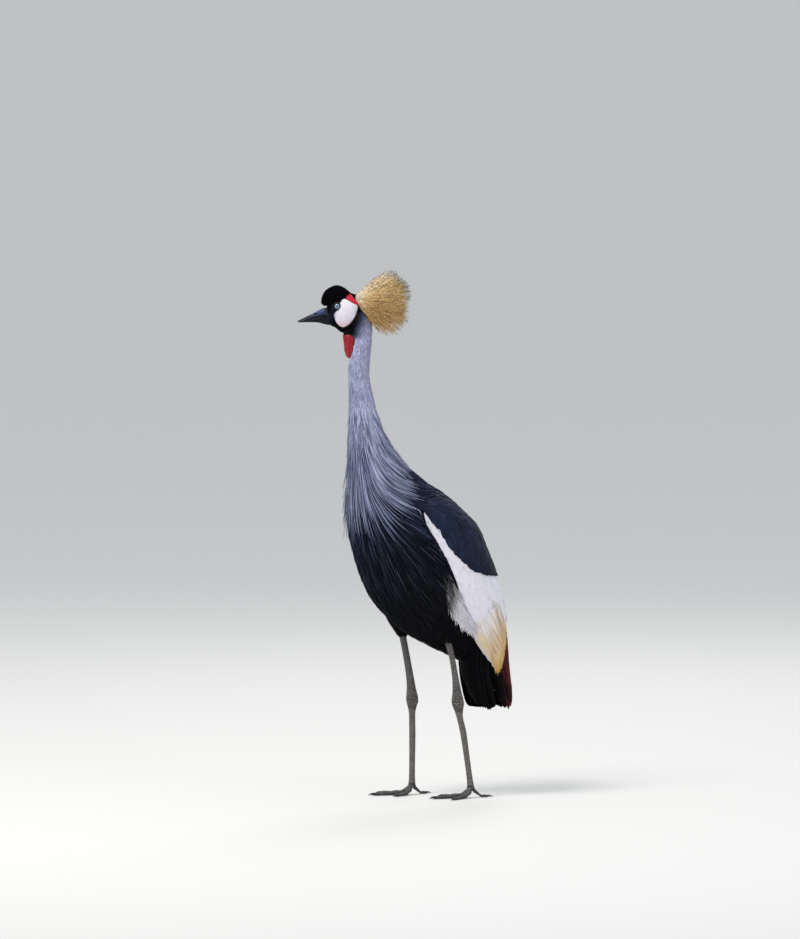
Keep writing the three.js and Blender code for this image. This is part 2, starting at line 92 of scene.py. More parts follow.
# body markings on the side plane: across, up
SLATE_EDGE = A([(18.0, 575.6), (29.3, 573.0), (38.9, 565.8), (51.1, 546.4), (63.2, 534.3), (68.0, 524.7), (82.6, 500.3), (92.2, 486.0),
  (111.5, 469.0), (123.7, 456.9), (138.1, 449.7), (155.0, 444.9), (172.0, 443.5), (189.5, 445.9)])
WHITE_FRONT = A([(18.0, 568.2), (28.5, 548.8), (40.0, 529.5), (53.5, 507.7), (66.5, 483.4), (78.5, 459.2), (92.2, 430.3), (104.3, 394.0)])
BLACK_EDGE = A([(8.0, 585.0), (18.0, 568.2), (28.5, 548.8), (40.0, 529.5), (53.5, 507.7), (66.5, 483.4), (78.5, 459.2), (89.0, 436.0), (97.0, 412.0), (91.0, 388.0), (84.0, 366.0)])
WHITE_LOW = A([(83.0, 367.1), (92.4, 344.1), (121.1, 323.2), (136.3, 304.2), (151.6, 281.1), (165.0, 263.9), (176.4, 258.4), (184.1, 269.7),
  (189.7, 300.2), (192.7, 319.4), (193.7, 357.5)])


def srgb(r, g, b):
    c = A([r, g, b], float) / 255
    return np.where(c <= 0.04045, c / 12.92, ((c + 0.055) / 1.055) ** 2.4)


LAVENDER = srgb(170, 173, 206)
PALE = srgb(208, 211, 240)
STEEL = srgb(62, 80, 124)
SLATE = srgb(24, 29, 42)
COAL = srgb(10, 10, 13)
WHITE = srgb(222, 218, 229)
GOLDEN = srgb(214, 168, 92)
CHESTNUT = srgb(33, 11, 12)


# ---------------------------------------------------------------- reading the tables
def at(table, t):
    t = np.clip(np.asarray(t, float), 0, len(table) - 1)
    n = len(table) - 1
    i = np.minimum(np.floor(t).astype(int), n - 1)
    f = (t - i)[..., None]
    p1, p2 = table[i], table[i + 1]
    p0 = np.where((i > 0)[..., None], table[np.maximum(i - 1, 0)], 2 * table[0] - table[1])
    p3 = np.where((i < n - 1)[..., None], table[np.minimum(i + 2, n)], 2 * table[n] - table[n - 1])
    return p1 + 0.5 * f * (p2 - p0 + f * (2 * p0 - 5 * p1 + 4 * p2 - p3 + f * (3 * (p1 - p2) + p3 - p0)))


def vec(x, y, z):
    x, y, z = np.broadcast_arrays(np.asarray(x, float), y, z)
    return np.stack([x, y, z], -1)


def body_sec(table):
    def f(t):
        r = at(table, t)
        tilt = np.radians(r[..., 2])
        zero = np.zeros_like(tilt)
        return vec(zero, r[..., 0], r[..., 1]), vec(zero, np.cos(tilt), np.sin(tilt)), vec(zero + 1, 0, 0), r[..., 3], r[..., 4]
    return f


def head_point(f, z, s=0.0):
    f, z, s = np.broadcast_arrays(np.asarray(f, float), z, s)
    p = PIVOT + f[..., None] * AHEAD + s[..., None] * ASIDE
    p = p.copy()
    p[..., 2] = z
    return p


def head_sec(table):
    def f(t):
        r = at(table, t)
        tilt = np.radians(r[..., 2])
        d = np.sin(tilt)[..., None] * AHEAD + np.cos(tilt)[..., None] * UP
        return head_point(r[..., 0], r[..., 1]), d, np.broadcast_to(ASIDE, d.shape), r[..., 3], r[..., 4]
    return f


def upright_sec(table):
    def f(t):
        r = at(table, t)
        c = head_point(r[..., 0], r[..., 1])
        return c, np.broadcast_to(-AHEAD, c.shape), np.broadcast_to(ASIDE, c.shape), r[..., 2], r[..., 3]
    return f


def limb_sec(table):
    def f(t):
        r = at(table, t)
        zero = np.zeros_like(r[..., 0])
        return r[..., :3], vec(zero, 1, 0), vec(zero + 1, 0, 0), r[..., 3], r[..., 4]
    return f


def core_egg(t):
    return np.interp(t, [5, 6, 8, 9], [0, 0.03, 0.05, 0.08])


def surf(sec, t, th, grow=0.0, egg=0.0):
    c, d, s, b, a = sec(t)
    x, z = np.sin(th), np.cos(th)
    b = np.maximum(b + grow, 0.4)
    a = np.maximum(a + grow, 0.4)
    return c + d * (b * z)[..., None] + s * (a * x * (1 + egg * z))[..., None]


def loft(sec, t0, t1, sides, rings, grow=None, egg=None):
    t = np.linspace(t0, t1, rings + 1)
    th = np.arange(sides) / sides * 2 * math.pi
    T, TH = np.meshgrid(t, th, indexing="ij")
    g = grow(T) if callable(grow) else (grow or 0.0)
    e = egg(T) if callable(egg) else (egg or 0.0)
    v = surf(sec, T, TH, g, e).reshape(-1, 3)
    k, j = np.meshgrid(np.arange(rings), np.arange(sides), indexing="ij")
    a = k * sides + j
    b = k * sides + (j + 1) % sides
    quads = np.stack([a, b, b + sides, a + sides], -1).reshape(-1, 4)
    faces = quads.tolist() + [list(range(sides))[::-1], list(range(rings * sides, (rings + 1) * sides))]
    return v, faces


# ---------------------------------------------------------------- mesh helpers
def new_object(name, mesh):
    o = bpy.data.objects.new(name, mesh)
    bpy.context.scene.collection.objects.link(o)
    return o


def closed_union(lofts, voxel):
    """One skin around all the lofts."""
    vs, fs, n = [], [], 0
    for v, f in lofts:
        vs.append(v)
        fs += [[i + n for i in q] for q in f]
        n += len(v)
    me = bpy.data.meshes.new("lofts")
    me.from_pydata((np.concatenate(vs) * MM).tolist(), [], fs)
    o = new_object("lofts", me)
    bm = bmesh.new()
    bm.from_mesh(me)
    bmesh.ops.recalc_face_normals(bm, faces=bm.faces)
    bm.to_mesh(me)
    bm.free()
    m = o.modifiers.new("r", "REMESH")
    m.mode = "VOXEL"
    m.voxel_size = voxel * MM
    dg = bpy.context.evaluated_depsgraph_get()
    out = bpy.data.meshes.new_from_object(o.evaluated_get(dg))
    bpy.data.objects.remove(o)
    bpy.data.meshes.remove(me)
    return out


def read_mesh(me):
    v = np.empty(len(me.vertices) * 3)
    me.vertices.foreach_get("co", v)
    e = np.empty(len(me.edges) * 2, int)
    me.edges.foreach_get("vertices", e)
    return v.reshape(-1, 3) / MM, e.reshape(-1, 2)


def relax(v, e, times, factor=0.5, mask=None):
    deg = np.bincount(e.ravel(), minlength=len(v)).astype(float)
    for _ in range(times):
        acc = np.stack([np.bincount(e[:, 0], v[e[:, 1], k], len(v)) + np.bincount(e[:, 1], v[e[:, 0], k], len(v)) for k in range(3)], -1)
        step = (acc / np.maximum(deg, 1)[:, None] - v) * factor
        v = v + (step if mask is None else step * mask[:, None])
    return v


def vert_normals(me):
    n = np.empty(len(me.vertices) * 3, np.float32)
    me.vertex_normals.foreach_get("vector", n)
    return n.reshape(-1, 3).astype(float)


def set_co(me, v):
    me.vertices.foreach_set("co", (v * MM).ravel())
    me.update()


def colour_attribute(me, col):
    c = np.ones((len(me.vertices), 4), np.float32)
    c[:, :3] = col
    me.color_attributes.new("Col", "FLOAT_COLOR", "POINT").data.foreach_set("color", c.ravel())


def unit(v):
    return v / np.maximum(np.linalg.norm(v, axis=-1, keepdims=True), 1e-9)


def smooth(x, a, b):
    k = np.clip((x - a) / (b - a), 0, 1)
    return k * k * (3 - 2 * k)


def mix(a, b, k):
    k = np.asarray(k)[..., None]
    return a * (1 - k) + b * k


def noise(p, scale, seed=0):
    """Cheap smooth noise, -1..1, from sines at odd angles."""
    r = np.random.default_rng(seed)
    out = 0
    for _ in range(7):
        w = unit(r.normal(size=3)) * r.uniform(0.6, 1.6) / scale * 2 * math.pi
        out = out + np.sin(p @ w + r.uniform(0, 6.28))
    return out / 3.2


def outline_distance(poly, x, y):
    """Distance to a closed outline, negative inside."""
    d = np.full(x.shape, 1e9)
    inside = np.zeros(x.shape, bool)
    for i in range(len(poly)):
        (ax, ay), (bx, by) = poly[i], poly[(i + 1) % len(poly)]
        ex, ey = bx - ax, by - ay
        k = np.clip(((x - ax) * ex + (y - ay) * ey) / (ex * ex + ey * ey), 0, 1)
        d = np.minimum(d, np.hypot(x - ax - ex * k, y - ay - ey * k))
        if ay != by:
            cross = ((y > ay) != (y > by)) & (x < ax + (y - ay) / (by - ay) * ex)
            inside ^= cross
    return np.where(inside, -d, d)


def rounded(poly, times=2):
    for _ in range(times):
        q = np.roll(poly, -1, 0)
        poly = np.stack([poly * 0.75 + q * 0.25, poly * 0.25 + q * 0.75], 1).reshape(-1, 2)
    return poly


CHEEK_R, RED_R, THROAT_R = rounded(CHEEK), rounded(RED, 1), rounded(THROAT)


def side_plane(p):
    x = np.abs(p[..., 0])
    return 0.3746 * x + 0.9272 * p[..., 1], -0.0647 * x + 0.0261 * p[..., 1] + 0.99756 * p[..., 2]


def head_plane(p):
    q = p - PIVOT
    f, s = q @ AHEAD, q @ ASIDE
    return f, 0.99756 * p[..., 2] - 2.7 - 0.0698 * np.abs(s), s


def place_on(table, p, egg=0.0, samples=240):
    """Where p lies on a body table: t, angle, and how far out (1 is on the surface)."""
    ts = np.linspace(0, len(table) - 1, samples)
    r = at(table, ts)
    ti = np.radians(r[:, 2])
    best = np.zeros(len(p), int)
    for i in range(0, len(p), 20000):
        q = p[i:i + 20000]
        dy, dz = q[:, 1, None] - r[:, 0], q[:, 2, None] - r[:, 1]
        g = np.abs(-np.sin(ti) * dy + np.cos(ti) * dz)
        best[i:i + 20000] = np.argmin(g + 0.04 * np.hypot(dy, dz), 1)
    rr, tt = r[best], ti[best]
    dd = (p[:, 1] - rr[:, 0]) * np.cos(tt) + (p[:, 2] - rr[:, 1]) * np.sin(tt)
    zz = dd / rr[:, 3]
    xx = p[:, 0] / (rr[:, 4] * (1 + (egg if not callable(egg) else egg(ts[best])) * np.clip(zz, -1, 1)))
    return ts[best], np.arctan2(xx, zz), np.hypot(xx, zz)


core, mantle, tail = body_sec(CORE), body_sec(MANTLE), body_sec(TAIL)


# ---------------------------------------------------------------- markings, shared by skin and coat
def head_marks(p):
    """Colour, and how bare the skin is, for points of the head and upper neck."""
    f, h, s = head_plane(p)
    edge = np.interp(h, [914, 920, 926, 938, 952, 970, 985, 1000], [38, 24, 15, 12.5, 7.5, 5, 4, 2])
    soft = np.interp(h, [920, 940, 965, 985], [10, 10, 7, 3])
    grey = mix(srgb(50, 58, 76), LAVENDER, smooth(edge - f, 0, 24) * 0.8 + 0.2 * smooth(edge - f, 20, 34))
    black = smooth(f - edge + soft * 0.5, 0, soft)
    low = smooth(h, 912, 926)
    col = mix(grey, COAL, black * low)
    lores = smooth(f, 50, 60) * smooth(986 - h, 0, 8) * smooth(h, 944, 958)
    col = mix(col, srgb(20, 25, 37), lores * 0.85)
    dc = outline_distance(CHEEK_R, f, h)
    dr = outline_distance(RED_R, f, h)
    side = smooth(np.abs(s), 4, 7)
    pink = mix(WHITE, srgb(228, 190, 208), smooth(-h, -958, -940) * 0.8)
    cheek = smooth(-dc, -0.35, 0.35) * side
    red = smooth(-dr, -0.35, 0.35) * side * (1 - cheek)
    col = mix(col, pink, cheek)
    col = mix(col, srgb(186, 20, 50), red)
    return col, np.maximum(cheek, red), dc, dr


def body_marks(p, t, on_mantle):
    """Colour of the plumage on neck and body at points p."""
    u, w = side_plane(p)
    neck = mix(LAVENDER, mix(LAVENDER, STEEL, 0.5), smooth(t, 4, 7))
    col = mix(neck, SLATE, smooth(t, 6.6, 8.6))
    col = mix(col, COAL, smooth(t, 9.5, 13.5))
    slate_at = np.interp(u, SLATE_EDGE[:, 0], SLATE_EDGE[:, 1])
    low_at = np.interp(u, WHITE_LOW[:, 0], WHITE_LOW[:, 1])
    wing = mix(WHITE, SLATE, smooth(w - slate_at, -2, 2))
    wing = mix(wing, COAL, smooth(low_at - w, -4, 4))
    lim = np.interp(-w, -BLACK_EDGE[:, 1], BLACK_EDGE[:, 0])
    wing = mix(wing, COAL, smooth(lim + 3 - u, 0, 4) * (w > 362))
    return mix(col, wing, on_mantle)


# ---------------------------------------------------------------- materials
def material(name):
    m = bpy.data.materials.new(name)
    m.use_nodes = True
    nt = m.node_tree
    nt.nodes.clear()
    out = nt.nodes.new("ShaderNodeOutputMaterial")
    b = nt.nodes.new("ShaderNodeBsdfPrincipled")
    nt.links.new(b.outputs["BSDF"], out.inputs["Surface"])
    return m, nt, b


def node(nt, kind, **kw):
    n = nt.nodes.new(kind)
    for k, v in kw.items():
        if k in n.inputs:
            n.inputs[k].default_value = v
        else:
            setattr(n, k, v)
    return n


def math_node(nt, op, a, b=None, c=None):
    n = nt.nodes.new("ShaderNodeMath")
    n.operation = op
    for i, v in enumerate((a, b, c)):
        if v is None:
            continue
        if isinstance(v, (int, float)):
            n.inputs[i].default_value = v
        else:
            nt.links.new(v, n.inputs[i])
    return n.outputs[0]


def mix_colour(nt, fac, a, b, mode="MIX"):
    n = nt.nodes.new("ShaderNodeMix")
    n.data_type = "RGBA"
    n.blend_type = mode
    for sock, v in ((n.inputs[0], fac), (n.inputs[6], a), (n.inputs[7], b)):
        if hasattr(v, "is_output"):
            nt.links.new(v, sock)
        elif isinstance(v, (int, float)):
            sock.default_value = v
        else:
            sock.default_value = (*v, 1.0) if len(v) == 3 else v
    return n.outputs[2]


def ramp(nt, fac, stops, interp="LINEAR"):
    n = nt.nodes.new("ShaderNodeValToRGB")
    n.color_ramp.interpolation = interp
    els = n.color_ramp.elements
    while len(els) < len(stops):
        els.new(0.5)
    for e, (p, c) in zip(els, stops):
        e.position = p
        e.color = (*c, 1.0) if not isinstance(c, (int, float)) else (c, c, c, 1.0)
    nt.links.new(fac, n.inputs[0])
    return n.outputs[0]


def feather_material(name, shaft=None, shaft_width=0.14, shaft_power=0.0, edge=None, edge_power=0.0, rough=0.62, barb=0.45, sheen=0.15, spec=0.35, vary=0.16, tint=(0.7, 0.8, 1.0), few=(0.12, 0.8)):
    """Vane: colour from Col, a shaft line and paler edges, and barbs that run out and back from the shaft."""
    m, nt, b = material(name)
    col = node(nt, "ShaderNodeAttribute", attribute_name="Col").outputs["Color"]
    vane = node(nt, "ShaderNodeAttribute", attribute_name="vane").outputs["Vector"]
    sep = nt.nodes.new("ShaderNodeSeparateXYZ")
    nt.links.new(vane, sep.inputs[0])
    u, v, r = sep.outputs
    au = math_node(nt, "ABSOLUTE", u)
    # barbs: fine lines that leave the shaft at a slant
    phase = math_node(nt, "ADD", math_node(nt, "MULTIPLY", v, 1.0), math_node(nt, "MULTIPLY", au, -2.2))
    cmb = nt.nodes.new("ShaderNodeCombineXYZ")
    nt.links.new(math_node(nt, "MULTIPLY", phase, 1.35), cmb.inputs[0])
    nt.links.new(math_node(nt, "MULTIPLY", u, 0.35), cmb.inputs[1])
    nt.links.new(math_node(nt, "MULTIPLY", r, 37.0), cmb.inputs[2])
    n1 = node(nt, "ShaderNodeTexNoise", Scale=1.0, Detail=2.0, Roughness=0.6)
    nt.links.new(cmb.outputs[0], n1.inputs["Vector"])
    n2 = node(nt, "ShaderNodeTexNoise", Scale=0.22, Detail=1.0)
    nt.links.new(cmb.outputs[0], n2.inputs["Vector"])
    k = math_node(nt, "ADD", 1.0 - vary, math_node(nt, "MULTIPLY", math_node(nt, "ADD", n1.outputs[0], n2.outputs[0]), vary))
    bright = nt.nodes.new("ShaderNodeCombineXYZ")
    for i in range(3):
        nt.links.new(k, bright.inputs[i])
    c = mix_colour(nt, 1.0, col, bright.outputs[0], "MULTIPLY")
    if edge is not None:
        fac = math_node(nt, "MULTIPLY", ramp(nt, au, [(0.55, 0.0), (0.97, 1.0)]), edge_power)
        c = mix_colour(nt, fac, c, edge)
    if shaft is not None:
        fac = math_node(nt, "MULTIPLY", ramp(nt, au, [(0.0, 1.0), (shaft_width, 0.85), (shaft_width * 1.9, 0.0)]), math_node(nt, "MULTIPLY", shaft_power, ramp(nt, r, [(few[0], 0.08), (few[1], 1.0)])))
        c = mix_colour(nt, fac, c, shaft)
    nt.links.new(c, b.inputs["Base Color"])
    b.inputs["Roughness"].default_value = rough
    b.inputs["Specular IOR Level"].default_value = spec
    if sheen:
        b.inputs["Sheen Weight"].default_value = sheen
        b.inputs["Sheen Roughness"].default_value = 0.45
        b.inputs["Sheen Tint"].default_value = (*tint, 1.0)
    bump = node(nt, "ShaderNodeBump", Strength=barb, Distance=0.0005)
    nt.links.new(n1.outputs[0], bump.inputs["Height"])
    nt.links.new(bump.outputs[0], b.inputs["Normal"])
    return m


# ---------------------------------------------------------------- vanes
def make_mesh(name, co, quads, tris, mat, col=None, uv=None, vane=None, nrm=None):
    me = bpy.data.meshes.new(name)
    nv, nq, nt_ = len(co), len(quads), len(tris)
    me.vertices.add(nv)
    me.vertices.foreach_set("co", ((co + SHIFT) * MM).astype(np.float32).ravel())
    loops = np.concatenate([quads.ravel(), tris.ravel()]).astype(np.int32)
    me.loops.add(len(loops))
    me.loops.foreach_set("vertex_index", loops)
    me.polygons.add(nq + nt_)
    start = np.concatenate([np.arange(nq) * 4, nq * 4 + np.arange(nt_) * 3]).astype(np.int32)
    me.polygons.foreach_set("loop_start", start)
    me.update(calc_edges=True)
    me.validate()
    if col is not None:
        colour_attribute(me, col)
    if vane is not None:
        me.attributes.new("vane", "FLOAT_VECTOR", "POINT").data.foreach_set("vector", vane.astype(np.float32).ravel())
    if uv is not None:
        lay = me.uv_layers.new(name="OFBake")
        lay.uv.foreach_set("vector", uv[loops].astype(np.float32).ravel())
    me.polygons.foreach_set("use_smooth", np.ones(nq + nt_, bool))
    if nrm is not None:
        me.normals_split_custom_set_from_vertices(nrm.astype(np.float32).tolist())
    me.materials.append(mat)
    o = new_object(name, me)
    print("piece", name, "verts", nv, "tris", nq * 2 + nt_)
    return o


PROFILES = {
    "lance": lambda v: np.clip((v / 0.28), 0.12, 1) ** 0.7 * np.clip((1 - v) / 0.72, 0, 1) ** 0.75 + 0.01,
    "round": lambda v: np.clip(0.3 + v / 0.35, 0, 1) ** 0.8 * np.sqrt(np.clip(1 - (np.clip(v - 0.62, 0, 1) / 0.38) ** 2.6, 0, 1)) + 0.02,
    "hair": lambda v: np.clip(1.02 - v, 0, 1) ** 0.55 * 0.9 + 0.05,
    "quill": lambda v: np.clip(0.45 + v / 0.25, 0, 1) * np.sqrt(np.clip(1 - (np.clip(v - 0.8, 0, 1) / 0.2) ** 2.2, 0, 1)) + 0.015,
    "bristle": lambda v: 1 - 0.45 * v,
}


def vanes(name, P, N, half, mat, c0, c1, uv, profile="lance", ring=3, thick=0.25, cup=0.12, fray=0.0, rng=None, c_mid=None, lean=None, soft_n=0.3, length=None, gradient=1.0, rnd=None):
    """Closed thin vanes along paths P (n, k+1, 3) with outward normals N."""
    n, k1, _ = P.shape
    v = np.linspace(0, 1, k1)
    tan = unit(np.gradient(P, axis=1))
    N = unit(N - (N * tan).sum(-1, keepdims=True) * tan)
    S = unit(np.cross(tan, N))
    if lean is not None:  # roll about the shaft
        ca, sa = np.cos(lean)[:, None, None], np.sin(lean)[:, None, None]
        S, N = S * ca + N * sa, N * ca - S * sa
    w = half[:, None] * PROFILES[profile](v)[None]
    if fray and rng is not None:
        w = w * (1 + fray * rng.normal(size=w.shape))
    us = A([-1.0, 0.0, 1.0]) if ring == 3 else A([-1.0, -0.55, 0.0, 0.55, 1.0])
    if length is None:
        length = np.linalg.norm(np.diff(P, axis=1), axis=-1).sum(1)
    co = np.empty((n, k1, ring, 3))
    for j, u in enumerate(us):
        lift = thick * (1 - abs(u)) - cup * w * u * u
        co[:, :, j] = P + S * (w * u)[..., None] + N * lift[..., None]
    nr = N[:, :, None] + S[:, :, None] * (us * soft_n)[None, None, :, None]
    base = (np.arange(n)[:, None, None] * k1 + np.arange(k1 - 1)[None, :, None]) * ring
    j0 = np.arange(ring)
    j1 = (j0 + 1) % ring
    q = np.stack([base + j0, base + j1, base + j1 + ring, base + j0 + ring], -1).reshape(-1, 4)
    first = np.arange(n) * k1 * ring
    last = first + (k1 - 1) * ring
    tr = []
    for a, b in [(j, j + 1) for j in range(1, ring - 1)]:
        tr.append(np.stack([first, first + b, first + a], -1))
        tr.append(np.stack([last, last + a, last + b], -1))
    tris = np.concatenate(tr)
    g = (v ** gradient)[None, :, None, None]
    col = c0[:, None, None, :] * (1 - g) + c1[:, None, None, :] * g
    if c_mid is not None:
        at_, cm, wd = c_mid
        kk = np.exp(-((v - at_) / wd) ** 2)[None, :, None, None]
        col = col * (1 - kk) + cm[:, None, None, :] * kk
    col = np.broadcast_to(col, (n, k1, ring, 3)).reshape(-1, 3)
    if rnd is None:
        rnd = (np.arange(n) * 0.61803398) % 1.0
    vv = np.empty((n, k1, ring, 3))
    vv[..., 0] = us
    vv[..., 1] = (v[None] * length[:, None])[..., None]
    vv[..., 2] = rnd[:, None, None]
    uvv = np.empty((n, k1, ring, 2))
    uvv[..., 0] = uv[:, None, None, 0] + 0.0014 * us
    uvv[..., 1] = uv[:, None, None, 1] + 0.0014 * (2 * v - 1)[None, :, None]
    return make_mesh(name, co.reshape(-1, 3), q, tris, mat, col, uvv.reshape(-1, 2), vv.reshape(-1, 3), unit(nr).reshape(-1, 3))


class Ground:
    """A closed form that feathers lie on."""

    def __init__(self, me):
        v, _ = read_mesh(me)
        me.calc_loop_triangles()
        t = np.empty(len(me.loop_triangles) * 3, np.int32)
        me.loop_triangles.foreach_get("vertices", t)
        self.tri = t.reshape(-1, 3)
        self.v, self.n = v, vert_normals(me)
        self.tree = BVHTree.FromPolygons(v.tolist(), self.tri.tolist(), all_triangles=True)

    def project(self, p):
        shape = p.shape
        q = p.reshape(-1, 3)
        out, idx = np.empty_like(q), np.empty(len(q), int)
        find = self.tree.find_nearest
        for i, x in enumerate(q.tolist()):
            loc, _, j, _ = find(x)
            out[i] = loc
            idx[i] = j
        tri = self.tri[idx]
        d = np.linalg.norm(self.v[tri] - out[:, None], axis=-1) + 1e-3
        wt = 1 / d
        nn = unit((self.n[tri] * (wt / wt.sum(1, keepdims=True))[..., None]).sum(1))
        return out.reshape(shape), nn.reshape(shape)


def grid(sec, t0, t1, spacing, row, rng, egg=0.0, jitter=0.35):
    """Roots in staggered rows on a tube: t and angle."""
    ts = np.linspace(t0, t1, 400)
    c, d, s, b, a = sec(ts)
    run = np.concatenate([[0], np.cumsum(np.linalg.norm(np.diff(c, axis=0), axis=1))])
    out_t, out_th, i, at_ = [], [], 0, 0.0
    while at_ < run[-1]:
        t = np.interp(at_, run, ts)
        ra, rb = np.interp(t, ts, a), np.interp(t, ts, b)
        per = 2 * math.pi * math.sqrt((ra * ra + rb * rb) / 2)
        n = max(3, int(per / spacing(t)))
        th = (np.arange(n) + 0.5 * (i % 2)) / n * 2 * math.pi + rng.normal(0, jitter, n) * 2 * math.pi / n
        tt = np.interp(at_ + rng.normal(0, jitter, n) * row(t), run, ts)
        out_t.append(tt)
        out_th.append(th)
        at_ += row(t)
        i += 1
    return np.concatenate(out_t), np.concatenate(out_th)


def flow(sec, t, th, length, k, delta=None, egg=0.0, tmax=None, grow=0.0):
    """Paths that run down a tube, turned towards the back by delta(t, angle)."""
    P = [surf(sec, t, th, grow, egg(t) if callable(egg) else egg)]
    path_t = [t]
    step = length / k
    for _ in range(k):
        e = egg(t) if callable(egg) else egg
        p0 = surf(sec, t, th, grow, e)
        dt = (surf(sec, t + 0.01, th, grow, e) - p0) / 0.01
        dth = (surf(sec, t, th + 0.01, grow, e) - p0) / 0.01
        de = delta(t, th) if delta is not None else 0.0
        sgn = np.sign(np.sin(th))
        t = t + np.cos(de) * step / np.maximum(np.linalg.norm(dt, axis=-1), 1e-3)
        th = th - sgn * np.sin(de) * step / np.maximum(np.linalg.norm(dth, axis=-1), 1e-3)
        if tmax is not None:
            t = np.minimum(t, tmax)
        P.append(surf(sec, t, th, grow, egg(t) if callable(egg) else egg))
        path_t.append(t)
    return np.stack(P, 1), np.stack(path_t, 1)


# ---------------------------------------------------------------- toes
def foot_at(side):
    return (TARSUS["left"][6] if side == "left" else TARSUS["right"][5])[:3]


def toe_sec(side, angle, length, r, hind):
    end = foot_at(side)
    sx = 1 if side == "left" else -1
    way = A([math.sin(math.radians(angle)) * sx, -math.cos(math.radians(angle)), 0])
    across = A([-way[1], way[0], 0])
    start = 15 if hind else 11.5

    def thick(u):
        return r * (1 - 0.38 * u) * (1 + 0.1 * np.sin(u * length / 80 * math.pi * 6.5))

    def height(u):
        k = np.minimum(1, u * (1.8 if hind else 3.2))
        return start + (thick(u) * 0.95 - 0.35 - start) * k

    def f(t):
        t = np.asarray(t, float)
        u = np.maximum(t, 0)
        rr = thick(u)
        end_round = np.sqrt(np.clip(1 - (np.clip(t - 0.93, 0, 1) / 0.09) ** 2, 0.12, 1))
        c = end[None] * A([1, 1, 0]) + np.zeros(t.shape + (3,)) + way * (4 + (length - 4) * u)[..., None]
        c[..., 2] = height(u)
        return c, np.broadcast_to(UP, c.shape), np.broadcast_to(across, c.shape), rr * np.where(u < 0.12, 1.05, 0.95) * end_round, rr * end_round
    return f, way, across, height, end


# ---------------------------------------------------------------- skin
WATTLE_SEC = upright_sec(WATTLE)
flesh = [
    loft(core, 0, 17, 64, 240, lambda t: -np.interp(t, [0, 4, 7, 9, 17], [2.0, 3.2, 6.5, 9.5, 8.5]), core_egg),
    loft(mantle, 0.35, 11.3, 56, 150, lambda t: -np.interp(t, [0, 1, 9, 11.3], [9, 9.5, 9.5, 9.0])),
    loft(tail, 0, 4.3, 40, 60, lambda t: -7.0 + 0 * t),
    loft(head_sec(SKULL), 0, 7, 56, 70, lambda t: -np.interp(t, [0, 5, 6, 7], [1.1, 1.1, 2.0, 4.2])),
    loft(upright_sec(NAPE), 0, 4, 48, 50, lambda t: -1.8 + 0 * t),
    loft(head_sec(CUSHION), 0, 7, 48, 60, lambda t: -4.0 + 0 * t),
    loft(WATTLE_SEC, 0, 5, 48, 60),
]
for side in ("left", "right"):
    flesh.append(loft(limb_sec(THIGH[side]), 0, 3, 40, 60, lambda t: -np.interp(t, [0, 2, 3], [4.5, 3.2, 2.0])))
    flesh.append(loft(limb_sec(SHANK[side]), 0, 5, 28, 90))
    flesh.append(loft(limb_sec(TARSUS[side]), 0, len(TARSUS[side]) - 1, 28, 90))
    for name, angle, length, r in TOES:
        flesh.append(loft(toe_sec(side, angle, length, r, name == "hind")[0], -0.02, 1.0, 24, 50))
skin_mesh = closed_union(flesh, 1.8)
v, e = read_mesh(skin_mesh)
v = relax(v, e, 2, 0.5)
set_co(skin_mesh, v)

# finer faces on head, wattle, legs and feet
bm = bmesh.new()
bm.from_mesh(skin_mesh)
LEG_Z, LEG_Y = {}, {}
for side in ("left", "right"):
    rows = np.concatenate([SHANK[side][:, :3], TARSUS[side][1:, :3]])
    LEG_Z[side], LEG_Y[side] = rows[::-1, 2], rows[::-1, 1]


def leg_weight(p):
    """1 on the bare legs and feet."""
    out = np.zeros(len(p))
    for side, sx, top in (("left", 50, 331), ("right", -50, 321)):
        yc = np.interp(p[:, 2], LEG_Z[side], LEG_Y[side])
        near = (np.abs(p[:, 0] - sx) < 20) & (np.abs(p[:, 1] - yc) < 22)
        out = np.maximum(out, near * smooth(top + 2 - p[:, 2], 0, 4))
    return np.where(p[:, 2] < 22, 1.0, out)


lw = leg_weight(v)
fine = (lw > 0.2) | (v[:, 2] > 928) | ((v[:, 2] > 878) & (((v - PIVOT) @ AHEAD) > 14))
edges = [ed for ed in bm.edges if fine[ed.verts[0].index] and fine[ed.verts[1].index]]
bmesh.ops.subdivide_edges(bm, edges=edges, cuts=1, use_grid_fill=True)
bm.to_mesh(skin_mesh)
bm.free()
v, e = read_mesh(skin_mesh)
lw = leg_weight(v)
fine = (lw > 0.2) | (v[:, 2] > 905)
v = relax(v, e, 2, 0.5, fine.astype(float))
set_co(skin_mesh, v)
nrm = vert_normals(skin_mesh)

# which parts of the skin are wattle
f, h, s = head_plane(v)
wt = np.interp(v[:, 2], WATTLE[::-1, 1], np.arange(len(WATTLE))[::-1])
wr = at(WATTLE, wt)
wval = np.hypot((f - wr[:, 0]) / (wr[:, 2] + 0.9), s / (wr[:, 3] + 0.9))
t_core, th_core, r_core = place_on(CORE, v, core_egg)
neck_d = (r_core - 1) * at(CORE, t_core)[:, 4]
throat = smooth(-outline_distance(THROAT_R, f, h), -0.6, 0.6) * smooth(f, 9, 12)
wattle_w = smooth(1.12 - wval, 0, 0.12) * smooth(neck_d, -1.9, -0.9) * smooth(925 - v[:, 2], 0, 3) * smooth(f, 9, 13)
wattle_w = np.maximum(wattle_w, throat)

